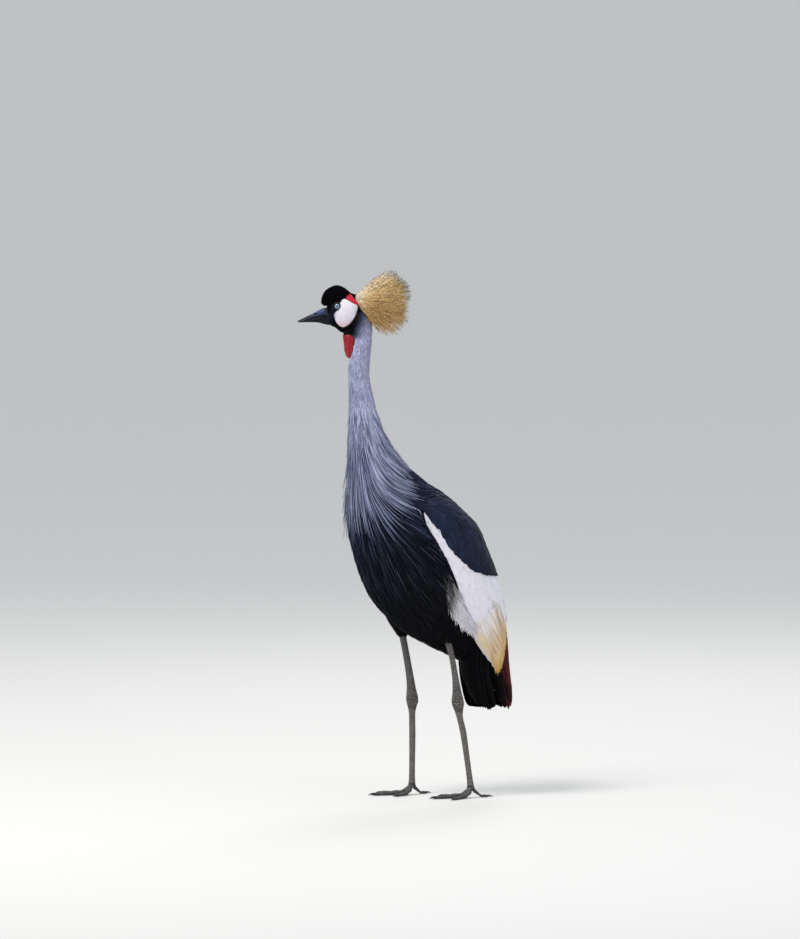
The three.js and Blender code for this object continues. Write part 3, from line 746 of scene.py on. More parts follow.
# lids and the socket round each eye
d = np.zeros_like(v)
for sx in (1, -1):
    ec = head_point(EYE_AT[0], EYE_AT[1], sx * EYE_AT[2])
    q = v - ec
    a = q @ (ASIDE * sx)
    rad = np.sqrt(np.maximum((q ** 2).sum(1) - a * a, 0))
    near = (a > -4) & (rad < 11)
    brow = 0.5 * np.exp(-(((q @ UP) - 6.2) / 2.4) ** 2) * np.exp(-((q @ AHEAD) / 7) ** 2)
    want = np.where(rad < 4.7, 0.5, np.sqrt(np.maximum(EYE_RADIUS ** 2 - np.minimum(rad, 5.9) ** 2, 0)) + 0.65 * np.exp(-((rad - 5.6) / 1.2) ** 2) + brow)
    k = near * np.where(rad < 4.7, 1, smooth(10.5 - rad, 0, 4.8))
    d += (ASIDE * sx) * ((want - a) * k)[:, None]
v = v + d
set_co(skin_mesh, v)
v = relax(v, e, 1, 0.35, ((v[:, 2] > 960) & (r_core > 0)).astype(float))
set_co(skin_mesh, v)
nrm = vert_normals(skin_mesh)

# bare cheek, red patch, wattle folds, leg scales, as shape
col_head, bare, dc, dr = head_marks(v)
out = np.zeros(len(v))
up_head = smooth(v[:, 2], 930, 936)
out += up_head * 0.9 * smooth(-dc, -0.6, 1.2) * smooth(np.abs(s), 4, 7)
out += up_head * bare * (0.16 * noise(v, 5.2, 3) + 0.10 * noise(v, 2.6, 4)) * smooth(-dc, 0.5, 3)
out += up_head * smooth(-dr, -0.5, 0.8) * smooth(np.abs(s), 4, 7) * (0.9 + 0.25 * noise(v, 2.4, 5))
out += 1.9 * smooth(-outline_distance(THROAT_R, f, h), 0.0, 4.0) * smooth(f, 9, 12) * smooth(np.abs(s), 3, 8)
fold = np.sin(s * 0.9 + 0.6 * np.sin(v[:, 2] * 0.16) + 0.8) * np.exp(-((s) / 12) ** 2)
out += wattle_w * (0.75 * fold + 0.28 * noise(v * A([1, 1, 0.35]), 5, 6) + 0.15 * noise(v, 2.2, 7))
leg_col = np.zeros((len(v), 3))
ridge = np.zeros(len(v))
for side, sx in (("left", 50), ("right", -50)):
    yc = np.interp(v[:, 2], LEG_Z[side], LEG_Y[side])
    mine = (np.sign(v[:, 0]) == np.sign(sx)) & (lw > 0.05)
    phi = np.arctan2(v[:, 0] - sx, -(v[:, 1] - yc))
    z = v[:, 2]
    on_shin = smooth(z, 20, 27) * smooth(176 - z, 0, 6)
    ph = z / 4.9 + 0.18 * np.sin(phi * 2 + z * 0.05)
    fr = np.abs((ph % 1) - 0.5) * 2  # 1 at the groove
    front = smooth(1.35 - np.abs(phi), 0, 0.35)
    groove = smooth(fr, 0.72, 1.0)
    g2 = smooth(np.abs(np.sin(z * 1.05 + np.round(phi * 2.2) * 1.6)), 0.0, 0.35)
    tarsus_r = front * (1 - groove) + (1 - front) * (0.45 + 0.4 * g2)
    on_hock = smooth(z, 172, 180) * smooth(222 - z, 0, 12)
    wr_ = 0.5 + 0.5 * np.sin(z * 2 * math.pi / 4.4 + 1.3 * noise(v, 14, 8) + 0.9 * np.cos(phi))
    on_shank = smooth(z, 214, 224)
    sh = 0.5 + 0.5 * np.sin(z * 2 * math.pi / 3.6 + np.round(phi * 1.9) * math.pi) * np.abs(np.cos(phi * 3.0))
    rr = on_shin * tarsus_r + on_hock * wr_ + on_shank * (0.35 + 0.5 * sh)
    amp = on_shin * 0.42 + on_hock * 0.85 + on_shank * 0.3
    out += mine * (rr - 0.6) * amp * smooth(z, 20, 26)
    ridge += mine * rr * smooth(z, 20, 26)
    for name, angle, length, r in TOES:
        _, way, across, height, end = toe_sec(side, angle, length, r, name == "hind")
        q = v - end * A([1, 1, 0])
        along = q @ way
        lat = q @ across
        on = mine & (z < 20) & (along > 5) & (np.abs(lat) < 8.5) & (along < length + 3)
        gr = smooth(np.abs(((along / 3.4) % 1) - 0.5) * 2, 0.7, 1.0)
        topside = smooth(nrm[:, 2], -0.1, 0.5)
        out += on * topside * (0.3 - 0.6 * gr)
        pads = 0.5 + 0.5 * np.cos(along / 3.0)
        ridge += on * (topside * (1 - gr) + (1 - topside) * 0.3 * pads)
v = v + nrm * out[:, None]
v[:, 2] = np.maximum(v[:, 2], 0.0)
set_co(skin_mesh, v)

# skin colour
t_m, th_m, r_m = place_on(MANTLE, v)
on_m = smooth(r_core - r_m, -0.02, 0.06) * (v[:, 2] < 640)
col = body_marks(v, t_core, on_m)
col = mix(col, mix(SLATE, COAL, 0.6), smooth(t_core, 6.2, 7.6) * (1 - on_m) * (v[:, 2] < 760))
headw = smooth(v[:, 2], 905, 915)
col = mix(col, col_head, headw)
streak = 0.5 + 0.5 * np.sin(f * 0.75 + 0.5 * np.sin(v[:, 2] * 0.11) + 1.2 * noise(v, 30, 9))
wr_col = mix(srgb(112, 1, 18), srgb(168, 8, 38), (0.25 + 0.75 * streak) * smooth(f, 15, 21) * 0.9)
wr_col = mix(wr_col, srgb(92, 3, 18), smooth(18.5 - f, 0, 5) * 0.55)
col = mix(col, wr_col, wattle_w)
col = mix(col, COAL, (v[:, 2] < 400) * (1 - lw) * (on_m < 0.5))
mott = 0.5 + 0.5 * noise(v, 9, 11)
leg_c = mix(srgb(48, 45, 44), srgb(124, 117, 113), np.clip(ridge, 0, 1) * (0.5 + 0.4 * mott))
leg_c = mix(leg_c, srgb(168, 169, 168), smooth(noise(v, 3.1, 12), 0.45, 0.9) * 0.5)
leg_c = mix(leg_c, srgb(56, 56, 58), smooth(24 - v[:, 2], 0, 12) * 0.55)
col = mix(col, leg_c, lw)
for sx in (1, -1):
    ec = head_point(EYE_AT[0], EYE_AT[1], sx * EYE_AT[2])
    rad = np.linalg.norm(v - ec, axis=1)
    col = mix(col, srgb(16, 17, 21), smooth(9.4 - rad, 0, 1.8) * (1 - smooth(-dc, 0.8, 2.0)))
colour_attribute(skin_mesh, col)
bare_all = np.maximum(np.maximum(bare * headw, wattle_w), lw)
skin_mesh.attributes.new("bare", "FLOAT", "POINT").data.foreach_set("value", bare_all.astype(np.float32))
skin_mesh.attributes.new("leg", "FLOAT", "POINT").data.foreach_set("value", lw.astype(np.float32))
skin_mesh.attributes.new("wet", "FLOAT", "POINT").data.foreach_set("value", wattle_w.astype(np.float32))
set_co(skin_mesh, v + SHIFT)
skin_mesh.polygons.foreach_set("use_smooth", np.ones(len(skin_mesh.polygons), bool))
skin = new_object("skin", skin_mesh)
skin_v, skin_n = v, vert_normals(skin_mesh)
print("skin faces", len(skin_mesh.polygons))

m, nt, b = material("skin")
c = node(nt, "ShaderNodeAttribute", attribute_name="Col").outputs["Color"]
leg_a = node(nt, "ShaderNodeAttribute", attribute_name="leg").outputs["Fac"]
wet_a = node(nt, "ShaderNodeAttribute", attribute_name="wet").outputs["Fac"]
geo = nt.nodes.new("ShaderNodeTexCoord")
n1 = node(nt, "ShaderNodeTexNoise", Scale=620.0, Detail=4.0, Roughness=0.6)
nt.links.new(geo.outputs["Object"], n1.inputs["Vector"])
n2 = node(nt, "ShaderNodeTexNoise", Scale=90.0, Detail=3.0)
nt.links.new(geo.outputs["Object"], n2.inputs["Vector"])
vo = node(nt, "ShaderNodeTexVoronoi", Scale=520.0, feature="DISTANCE_TO_EDGE")
nt.links.new(geo.outputs["Object"], vo.inputs["Vector"])
crack = ramp(nt, vo.outputs["Distance"], [(0.0, 0.0), (0.12, 1.0)])
k = math_node(nt, "ADD", 0.72, math_node(nt, "MULTIPLY", math_node(nt, "ADD", n1.outputs[0], n2.outputs[0]), 0.28))
kk = nt.nodes.new("ShaderNodeCombineXYZ")
for i in range(3):
    nt.links.new(k, kk.inputs[i])
c = mix_colour(nt, 1.0, c, kk.outputs[0], "MULTIPLY")
c = mix_colour(nt, math_node(nt, "MULTIPLY", math_node(nt, "SUBTRACT", 1.0, crack), math_node(nt, "MULTIPLY", leg_a, 0.45)), c, (0.02, 0.02, 0.022))
nt.links.new(c, b.inputs["Base Color"])
rough = math_node(nt, "ADD", 0.58, math_node(nt, "MULTIPLY", n2.outputs[0], 0.2))
rough = math_node(nt, "SUBTRACT", rough, math_node(nt, "MULTIPLY", wet_a, 0.26))
nt.links.new(rough, b.inputs["Roughness"])
b.inputs["Specular IOR Level"].default_value = 0.4
b.inputs["Subsurface Weight"].default_value = 0.06
b.inputs["Subsurface Radius"].default_value = (0.004, 0.0015, 0.001)
b.inputs["Subsurface Scale"].default_value = 0.4
hgt = math_node(nt, "ADD", math_node(nt, "MULTIPLY", n1.outputs[0], 0.5), math_node(nt, "MULTIPLY", crack, leg_a))
bump = node(nt, "ShaderNodeBump", Strength=0.5, Distance=0.0004)
nt.links.new(hgt, bump.inputs["Height"])
nt.links.new(bump.outputs[0], b.inputs["Normal"])
skin_mesh.materials.append(m)
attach(skin, "root")
flesh_nodes = ["neck_upper", "neck_middle", "neck_lower", "trunk", "head", "forehead_cushion", "wattle"]
for side in ("left", "right"):
    flesh_nodes += [f"thigh_{side}", f"shank_{side}", f"tarsus_{side}"] + [f"toe_{t}_{side}" for t, *_ in TOES]
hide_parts(*flesh_nodes)

# ---------------------------------------------------------------- the form the feathers lie on
outer_mesh = closed_union([
    loft(core, 0, 17, 56, 200, None, core_egg),
    loft(mantle, 0.0, 12.0, 56, 140),
    loft(limb_sec(THIGH["left"]), 0, 3, 32, 40),
    loft(limb_sec(THIGH["right"]), 0, 3, 32, 40),
    loft(upright_sec(NAPE), 0, 4, 40, 40),
    loft(head_sec(SKULL), 0, 7, 40, 50),
], 3.0)
ov, oe = read_mesh(outer_mesh)
set_co(outer_mesh, relax(ov, oe, 4, 0.5))
ground = Ground(outer_mesh)

rng = np.random.default_rng(38)


def atlas(t, tmax, th):
    """Place of a root on an unwrap of the form: angle across, distance along."""
    return np.stack([0.02 + 0.96 * ((th / (2 * math.pi)) % 1.0), 0.02 + 0.96 * (1 - np.clip(t / tmax, 0, 1))], -1)


def lay(P, down, up_, power=1.0, extra=None):
    """Drops a path on the feather form: depth at the root and at the tip."""
    Q, N = ground.project(P)
    k = np.linspace(0, 1, P.shape[1]) ** power
    off = -down[:, None] * (1 - k) - up_[:, None] * k
    if extra is not None:
        off = off + extra
    return Q + N * off[..., None], N


def shade(c, n, amount, rng):
    return c * (1 + amount * rng.normal(size=(n, 1)))


def trim(P, g, least=0.4):
    """Ends each path where g turns negative; paths cut shorter than least of their length are not kept."""
    n, k1, _ = P.shape
    s_ = np.linspace(0, 1, k1)
    neg = g < 0
    first = np.where(neg.any(1), neg.argmax(1), k1)
    end = np.ones(n)
    m = (first < k1) & (first > 0)
    i = first[m]
    g0, g1 = g[m, i - 1], g[m, i]
    end[m] = s_[i - 1] + (s_[i] - s_[i - 1]) * g0 / (g0 - g1)
    end[first == 0] = 0
    x = s_[None] * end[:, None] * (k1 - 1)
    i = np.minimum(np.floor(x).astype(int), k1 - 2)
    fr = (x - i)[..., None]
    rows = np.arange(n)[:, None]
    return P[rows, i] * (1 - fr) + P[rows, i + 1] * fr, end >= least


def slide(P, margin, top=596):
    """Turns the paths that would cross the wing's front edge down along it."""
    for _ in range(3):
        u, w = side_plane(P)
        lim = np.interp(-w, -BLACK_EDGE[:, 1], BLACK_EDGE[:, 0]) - margin[:, None]
        over = np.clip(u - lim, 0, 60) * smooth(w, 352, 366) * smooth(top - w, 0, 8)
        P = P.copy()
        P[..., 1] -= over / 0.9272
        P, _ = ground.project(P)
    # the turn is eased so that no feather kinks
    for _ in range(2):
        P[:, 1:-1] = P[:, 1:-1] * 0.5 + (P[:, :-2] + P[:, 2:]) * 0.25
    return P


coat = []
mat_neck = feather_material("neck_feathers", shaft=tuple(srgb(222, 222, 244)), shaft_width=0.15, shaft_power=0.3, edge=tuple(srgb(104, 116, 150)), edge_power=0.4, rough=0.6, barb=0.35, sheen=0.08, vary=0.25)
mat_hackle = feather_material("hackle_feathers", shaft=tuple(srgb(196, 204, 238)), shaft_width=0.24, shaft_power=0.7, edge=tuple(srgb(20, 30, 58)), edge_power=0.85, rough=0.5, barb=0.4, sheen=0.06, vary=0.3)
mat_breast = feather_material("breast_feathers", shaft=tuple(srgb(128, 142, 184)), shaft_width=0.13, shaft_power=0.8, rough=0.6, barb=0.4, sheen=0.0, spec=0.06, vary=0.5, few=(0.58, 0.97))
mat_black = feather_material("black_feathers", shaft=tuple(srgb(24, 26, 34)), shaft_width=0.08, shaft_power=0.4, rough=0.6, barb=0.4, sheen=0.0, spec=0.04, vary=0.5)
mat_slate = feather_material("slate_feathers", shaft=tuple(srgb(50, 63, 100)), shaft_width=0.04, shaft_power=0.55, edge=tuple(srgb(27, 38, 68)), edge_power=0.28, rough=0.5, barb=0.4, sheen=0.0, spec=0.13, vary=0.5, tint=(0.5, 0.6, 1.0))
mat_white = feather_material("white_feathers", shaft=tuple(srgb(250, 248, 252)), shaft_width=0.04, shaft_power=0.5, rough=0.7, barb=0.3, sheen=0.3, vary=0.1)
mat_gold = feather_material("gold_feathers", rough=0.55, barb=0.3, sheen=0.3, vary=0.2, tint=(1.0, 0.85, 0.6))
mat_velvet = feather_material("velvet", rough=0.8, barb=0.3, sheen=0.0, spec=0.04, vary=0.3)
mat_bristle = feather_material("crest_bristles", rough=0.5, barb=0.2, sheen=0.35, spec=0.2, vary=0.18, tint=(1.0, 0.78, 0.5))

# neck: short close feathers
t, th = grid(core, 0.0, 5.6, lambda t: 2.1 + 0.12 * t, lambda t: 2.7 + 0.25 * t, rng, core_egg)
L = np.interp(t, [0, 2, 4, 5.6], [12, 16, 24, 34]) * rng.uniform(0.8, 1.2, len(t))
P, pt = flow(core, t, th, L, 4, lambda t, th: 0.12 * np.sin(t * 3 + th * 2), core_egg)
cN = mix(LAVENDER, STEEL, np.clip(0.5 + 0.5 * noise(P[:, 0], 46, 21) * 1.5, 0, 1) * np.interp(t, [0, 3, 5.6], [0.12, 0.22, 0.35]))
cN = mix(cN, STEEL, 0.44 * smooth(-np.cos(th) + 0.5 * noise(P[:, 0], 30, 22), 0.1, 1.0) * smooth(t, 0.6, 2.0))
P0, N0 = lay(P, np.full(len(t), 2.3), rng.uniform(-0.2, 0.8, len(t)))
hd = head_marks(P0[:, 0])[0]
c0 = mix(cN, hd, smooth(P0[:, 0, 2], 905, 922))
c0 = shade(c0, len(t), 0.16, rng)
c1 = mix(c0, PALE, 0.35 * rng.uniform(0, 1, len(t)) * smooth(915 - P0[:, 0, 2], 0, 20))
fq, hq, sq = head_plane(P0[:, 2])
keep = outline_distance(THROAT_R, fq, hq) > 0.3
fq, hq, sq = head_plane(P0[:, 0])
keep &= (outline_distance(THROAT_R, fq, hq) > 0) | (fq < 11)
K = keep
coat.append(vanes("coat_neck", P0[K], N0[K], (np.interp(t, [0, 5.6], [1.35, 2.0]) * rng.uniform(0.8, 1.2, len(t)))[K], mat_neck, c0[K], c1[K], atlas(t, 8, th)[K], "lance", 3, 0.3, 0.1, lean=rng.normal(0, 0.18, len(t))[K], soft_n=0.5))

# breast: long dark feathers with thin pale shafts
def sweep(t, th):
    w = np.abs(((th + math.pi) % (2 * math.pi)) - math.pi)  # 0 back, pi front
    return np.radians(46) * smooth(-w, -2.6, -1.3) * smooth(w, 0.05, 0.95) * np.interp(t, [6.3, 7.5, 8.8, 10, 12, 15], [0.0, 0.4, 1.0, 0.9, 0.45, 0.15])


def off_wing(P, rng, slack=4.0):
    """Which points of a breast feather's path would cover the wing's white."""
    u, w = side_plane(P)
    lim = np.interp(-w, -WHITE_FRONT[:, 1], WHITE_FRONT[:, 0])
    over = (u > lim[...] + slack) & (w < 585) & (w > 394)
    return over


t, th = grid(core, 6.2, 13.6, lambda t: 5.4, lambda t: 10.0, rng, core_egg)
L = np.interp(t, [6, 8, 11, 13.6], [80, 104, 84, 46]) * rng.uniform(0.75, 1.25, len(t))
P, pt = flow(core, t, th, L, 11, sweep, core_egg, tmax=15.8)
_, _, rm0 = place_on(MANTLE, P[:, 0])
u_r, w_r = side_plane(P[:, 0])
lim_r = np.interp(-w_r, -BLACK_EDGE[:, 1], BLACK_EDGE[:, 0])
back = np.abs(((th + math.pi) % (2 * math.pi)) - math.pi) < 0.9
keep = (rm0 > 0.97) & ~((u_r > lim_r - 4) & (w_r < 590) & (w_r > 362)) & ~(back & (t > 8.3))
P, t, th, L = P[keep], t[keep], th[keep], L[keep]
n = len(t)
P = slide(P, rng.uniform(-2.5, 1, n) ** 2 * 2.2 - 2.0)
P0, N0 = lay(P, np.full(n, 7.0), rng.uniform(-0.6, 2.2, n), 0.8)
dark = smooth(t, 7.6, 11.5)
c0 = shade(mix(srgb(9, 12, 21) + 0 * t[:, None], srgb(4, 5, 7) + 0 * t[:, None], dark), n, 0.25, rng)
c1 = shade(mix(srgb(17, 24, 42) + 0 * t[:, None], srgb(5, 6, 8) + 0 * t[:, None], dark), n, 0.25, rng)
line = rng.uniform(0, 1, n) * np.interp(t, [6.5, 8.5, 10.5, 12, 13.5], [1.0, 0.98, 0.82, 0.66, 0.5])
coat.append(vanes("coat_breast", P0, N0, rng.uniform(1.9, 3.3, n), mat_breast, c0, c1, atlas(t, 17, th), "lance", 3, 0.5, 0.12, lean=rng.normal(0, 0.16, n), soft_n=0.45, rnd=line))

# dark feathers between the shoulders, under the ends of the hackles
t, th = grid(core, 6.6, 10.2, lambda t: 6.0, lambda t: 9.0, rng, core_egg)
L = rng.uniform(46, 72, len(t))
P, pt = flow(core, t, th, L, 9, sweep, core_egg)
_, _, rm0 = place_on(MANTLE, P[:, 0])
w_abs = np.abs(((th + math.pi) % (2 * math.pi)) - math.pi)
u_, w_ = side_plane(P)
P, keep = trim(P, np.where(u_ > np.interp(-w_, -BLACK_EDGE[:, 1], BLACK_EDGE[:, 0]) - 2, w_ - np.interp(u_, SLATE_EDGE[:, 0], SLATE_EDGE[:, 1]), 9.0), 0.3)
keep &= (w_abs < 1.75) & (rm0 > 0.85)
P, t, th = P[keep], t[keep], th[keep]
n = len(t)
P0, N0 = lay(P, np.full(n, 6.5), rng.uniform(-0.4, 1.6, n), 0.7)
c0 = shade(srgb(15, 19, 30) + np.zeros((n, 1)), n, 0.25, rng)
c1 = shade(srgb(26, 35, 58) + np.zeros((n, 1)), n, 0.25, rng)
coat.append(vanes("coat_nape_of_back", P0, N0, rng.uniform(2.6, 4.4, n), mat_slate, c0, c1, atlas(t, 17, th), "lance", 3, 0.4, 0.1, lean=rng.normal(0, 0.12, n), soft_n=0.35))

# hackles: long pale lanceolate feathers at the base of the neck
t, th = grid(core, 4.2, 8.3, lambda t: np.interp(t, [4.3, 6, 8.3], [2.7, 3.3, 5.0]), lambda t: np.interp(t, [4.3, 8.3], [4.6, 6.8]), rng, core_egg)
L = np.interp(t, [4.3, 5.5, 7, 8.25], [40, 72, 100, 112]) * rng.uniform(0.7, 1.3, len(t))
P, pt = flow(core, t, th, L, 11, sweep, core_egg)
w_abs = np.abs(((th + math.pi) % (2 * math.pi)) - math.pi)
w_path = np.broadcast_to(w_abs[:, None], pt.shape)
limit = np.interp(w_path, [0, 0.6, 1.2, 1.7, 2.3, 2.8, 3.14], [8.2, 8.6, 9.8, 10.8, 10.9, 10.3, 9.8]) + (rng.normal(0, 0.35, len(t)) - 1.5 * rng.uniform(0, 1, len(t)) ** 2)[:, None]
P, keep = trim(P, limit - pt, 0.4)
u_, w_ = side_plane(P)
P, keep2 = trim(P, np.where(w_ > 573, np.interp(w_, [573, 612, 646, 680, 700], [25, 10, -4, -18, -30]) + rng.normal(-2, 7, len(t))[:, None] - u_, 9.0), 0.3)
keep &= keep2
P, t, th, L, pt, w_abs = P[keep], t[keep], th[keep], L[keep], pt[keep], w_abs[keep]
n = len(t)
P = slide(P, rng.uniform(-1, 9.0, n), 572)
front = smooth(w_abs, 2.2, 2.9)
wisp = (rng.uniform(0, 1, n) < 0.3) * front * smooth(t, 5.5, 6.5)
k = np.linspace(0, 1, 12)
lock = noise(A([[math.cos(a_) * 60, math.sin(a_) * 60, b_ * 0.25] for a_, b_ in zip(th, P[:, 0, 2])]), 7, 31)
P0, N0 = lay(P, np.full(n, 4.0), rng.uniform(-1.8, 1.6, n) - 1.6 * lock, 0.6, extra=(wisp * rng.uniform(2, 11, n))[:, None] * k ** 2.5)
pale = np.where(rng.uniform(0, 1, n) < np.interp(pt[:, -1], [6, 8, 10], [0.2, 0.42, 0.55]) + 0.16 * smooth(w_abs, 1.5, 2.6) + 0.5 * lock, rng.uniform(0, 0.25, n), rng.uniform(0.76, 1.0, n))
c0 = shade(mix(mix(STEEL, srgb(30, 42, 74), smooth(pt[:, -1], 7.4, 9.2)), mix(PALE + 0 * t[:, None], srgb(156, 174, 214), 0.75 * smooth(w_abs, 1.4, 2.5)), pale), n, 0.12, rng)
tipc = mix(mix(STEEL, SLATE, 0.6) + 0 * t[:, None], mix(LAVENDER, STEEL, 0.25) + 0 * t[:, None], pale)
c1 = mix(tipc, mix(STEEL, SLATE, 0.35), smooth(pt[:, -1], 8.8, 10.6) * 0.65)
coat.append(vanes("coat_hackles", P0, N0, np.interp(t, [4.3, 8.25], [1.2, 1.75]) * rng.uniform(0.7, 1.3, n), mat_hackle, c0, c1, atlas(t, 17, th), "lance", 3, 0.5, 0.1, lean=rng.normal(0, 0.3, n), soft_n=0.55))

# belly and vent
t, th = grid(core, 12.6, 16.9, lambda t: 5.6, lambda t: 8.0, rng, core_egg)
L = np.interp(t, [12.6, 16.9], [42, 26]) * rng.uniform(0.8, 1.25, len(t))
P, pt = flow(core, t, th, L, 6, lambda t, th: 0.15 + 0 * t, core_egg, tmax=17.0)
_, _, rm0 = place_on(MANTLE, P[:, 0])
keep = rm0 > 0.97
P, t, th = P[keep], t[keep], th[keep]
n = len(t)
P0, N0 = lay(P, np.full(n, 6.0), rng.uniform(0.0, 1.8, n), 0.8)
u, w = side_plane(P0[:, 2])
fluff = 0.6 * smooth(u, 78, 88) * smooth(w, 366, 374) * smooth(426 - w, 0, 14)
c0 = shade(mix(COAL + 0 * t[:, None], srgb(176, 174, 176) + 0 * t[:, None], fluff), n, 0.2, rng)
c1 = shade(mix(COAL * 1.2 + 0 * t[:, None], srgb(206, 203, 206) + 0 * t[:, None], fluff), n, 0.15, rng)
coat.append(vanes("coat_belly", P0, N0, rng.uniform(2.4, 3.6, n), mat_black, c0, c1, atlas(t, 17, th), "lance", 3, 0.4, 0.1, lean=rng.normal(0, 0.2, n)))

# the smoky down in front of the wing's lower edge
n = 40000
sgn = rng.choice([-1.0, 1.0], n)
t, th = rng.uniform(9.5, 16.5, n), sgn * rng.uniform(0.2, 2.4, n)
R0 = surf(core, t, th, 0, core_egg(t))
_, _, rmm = place_on(MANTLE, R0)
tm, thm = rng.uniform(5.0, 11.0, n), sgn * rng.uniform(0.8, 2.9, n)
R1 = surf(mantle, tm, thm)
_, _, rcc = place_on(CORE, R1, core_egg)
DOWN = A([(66, 440), (80, 446), (88, 430), (96, 408), (106, 386), (116, 368), (124, 350), (116, 340), (104, 346), (92, 362), (80, 374), (72, 392), (66, 414)], float)
u0, w0 = side_plane(R0)
u1, w1 = side_plane(R1)
ok0 = (outline_distance(DOWN, u0, w0) < 0) & (rmm > 1) & (rng.uniform(0, 1, n) < 0.1 + smooth(u0 + (420 - w0) * 0.2, 68, 96))
ok1 = (outline_distance(DOWN, u1, w1) < 0) & (rcc > 1) & (rng.uniform(0, 1, n) < 0.1 + smooth(u1 + (420 - w1) * 0.2, 68, 96))
R = np.concatenate([R0[ok0][:800], R1[ok1][:440]])
n = len(R)
k = np.linspace(0, 1, 6)
lie = A([0.0, 0.42, -1.0]) + rng.normal(0, 0.15, (n, 3))
P = R[:, None] + unit(lie)[:, None] * (rng.uniform(16, 34, n)[:, None] * k)[..., None]
P0, N0 = lay(P, np.full(n, 1.6), rng.uniform(-2.4, -0.2, n), 0.8)
u1, w1 = side_plane(R)
soft_ = np.clip(smooth(u1 + (420 - w1) * 0.24, 78, 102) + 0.12 * rng.normal(size=n), 0, 1)
c0 = mix(srgb(24, 22, 26) + np.zeros((n, 1)), srgb(226, 222, 230) + np.zeros((n, 1)), soft_)
sg = np.where(R[:, 0] < 0, -1.0, 1.0)
down_uv = atlas(np.clip((440 - w1) / 8, 0, 17), 17, sg * (0.6 + (u1 - 66) / 50))
coat.append(vanes("coat_flank_down", P0, N0, rng.uniform(0.9, 1.8, n), mat_white, c0, c0, down_uv, "hair", 3, 0.25, 0.1, lean=rng.normal(0, 0.2, n), soft_n=0.6))

# thighs
for side in ("left", "right"):
    sec = limb_sec(THIGH[side])
    t, th = grid(sec, 0.0, 2.95, lambda t: 3.4, lambda t: 4.2, rng)
    L = np.interp(t, [0, 2.95], [26, 12]) * rng.uniform(0.8, 1.2, len(t))
    P, pt = flow(sec, t, th, L, 5, None, 0.0, tmax=3.0)
    n = len(t)
    Q, N = ground.project(P)
    far = np.linalg.norm(Q - P, axis=-1).max(1) > 14
    _, _, rc = place_on(CORE, P[:, 0], core_egg)
    K = (rc > 0.9) & ~far
    k = np.linspace(0, 1, 6)
    P0 = Q + N * (-(3.2 * (1 - k) + 0.2 * k))[None, :, None]
    c0 = shade(COAL + np.zeros((n, 1)), n, 0.2, rng)
    coat.append(vanes(f"coat_thigh_{side}", P0[K], N[K], rng.uniform(1.7, 2.6, n)[K], mat_black, c0[K], (c0 * 1.3)[K], atlas(t, 3, th)[K], "lance", 3, 0.35, 0.1, lean=rng.normal(0, 0.2, n)[K]))

# white wing coverts
def edges(P):
    u, w = side_plane(P)
    return u, w, np.interp(u, SLATE_EDGE[:, 0], SLATE_EDGE[:, 1]), np.interp(u, WHITE_LOW[:, 0], WHITE_LOW[:, 1])


t, th = grid(mantle, 0.3, 11.2, lambda t: np.interp(t, [0, 7, 10], [7.0, 6.5, 5.0]), lambda t: np.interp(t, [0, 7, 10], [9.0, 7.5, 6.0]), rng)
L = np.interp(t, [0, 3, 6, 8, 11], [44, 74, 90, 66, 46]) * rng.uniform(0.85, 1.15, len(t))
P, pt = flow(mantle, t, th, L, 10, lambda t, th: 0.05 * np.sin(t * 2 + th), 0.0, tmax=11.9)
u_, w_, slate_at, low_at = edges(P)
P, keep = trim(P, w_ - low_at - rng.normal(0, 3.0, len(t))[:, None] - 6 * (rng.uniform(0, 1, len(t)) < 0.2)[:, None], 0.3)
_, _, rc0 = place_on(CORE, P[:, 3], core_egg)
u_, w_, _, _ = edges(P)
lim = np.interp(-w_, -BLACK_EDGE[:, 1], BLACK_EDGE[:, 0])
keep &= (rc0 > 0.97) & (w_[:, 0] < slate_at[:, 0] + np.interp(u_[:, 0], [40, 90], [4, 34]))
keep &= ~((u_ < lim + np.interp(w_, [490, 530], [1.0, -5.0])) & (w_ > 366))[:, 4:].any(1) & ~((u_ < lim - 24) & (w_ > 366)).any(1)
P, t, th = P[keep], t[keep], th[keep]
n = len(t)
P0, N0 = lay(P, np.full(n, 6.0), rng.uniform(1.6, 2.9, n), 0.7)
c0 = shade(srgb(219, 217, 232) + np.zeros((n, 1)), n, 0.02, rng)
c1 = shade(srgb(232, 229, 240) + np.zeros((n, 1)), n, 0.02, rng)
u1, w1, _, low1 = edges(P[:, -1])
rim = smooth(low1 + 40 - w1, 0, 34)
c1 = mix(c1, srgb(206, 200, 208), rim * 0.5)
straw = smooth(u1, 128, 150) * smooth(366 - w1, 0, 60) * smooth(w1 - low1, -10, 6)
c1 = mix(c1, srgb(232, 208, 150), straw * 0.85)
c0 = mix(c0, srgb(236, 224, 200), straw * 0.5)
w_half = rng.uniform(6.0, 8.5, n) * np.interp(w1 - low1, [0, 40], [0.45, 1.0])
coat.append(vanes("coat_white_coverts", P0, N0, w_half, mat_white, c0, c1, atlas(t, 13, th), "round", 5, 0.35, 0.05, lean=rng.normal(0, 0.04, n), soft_n=0.14))

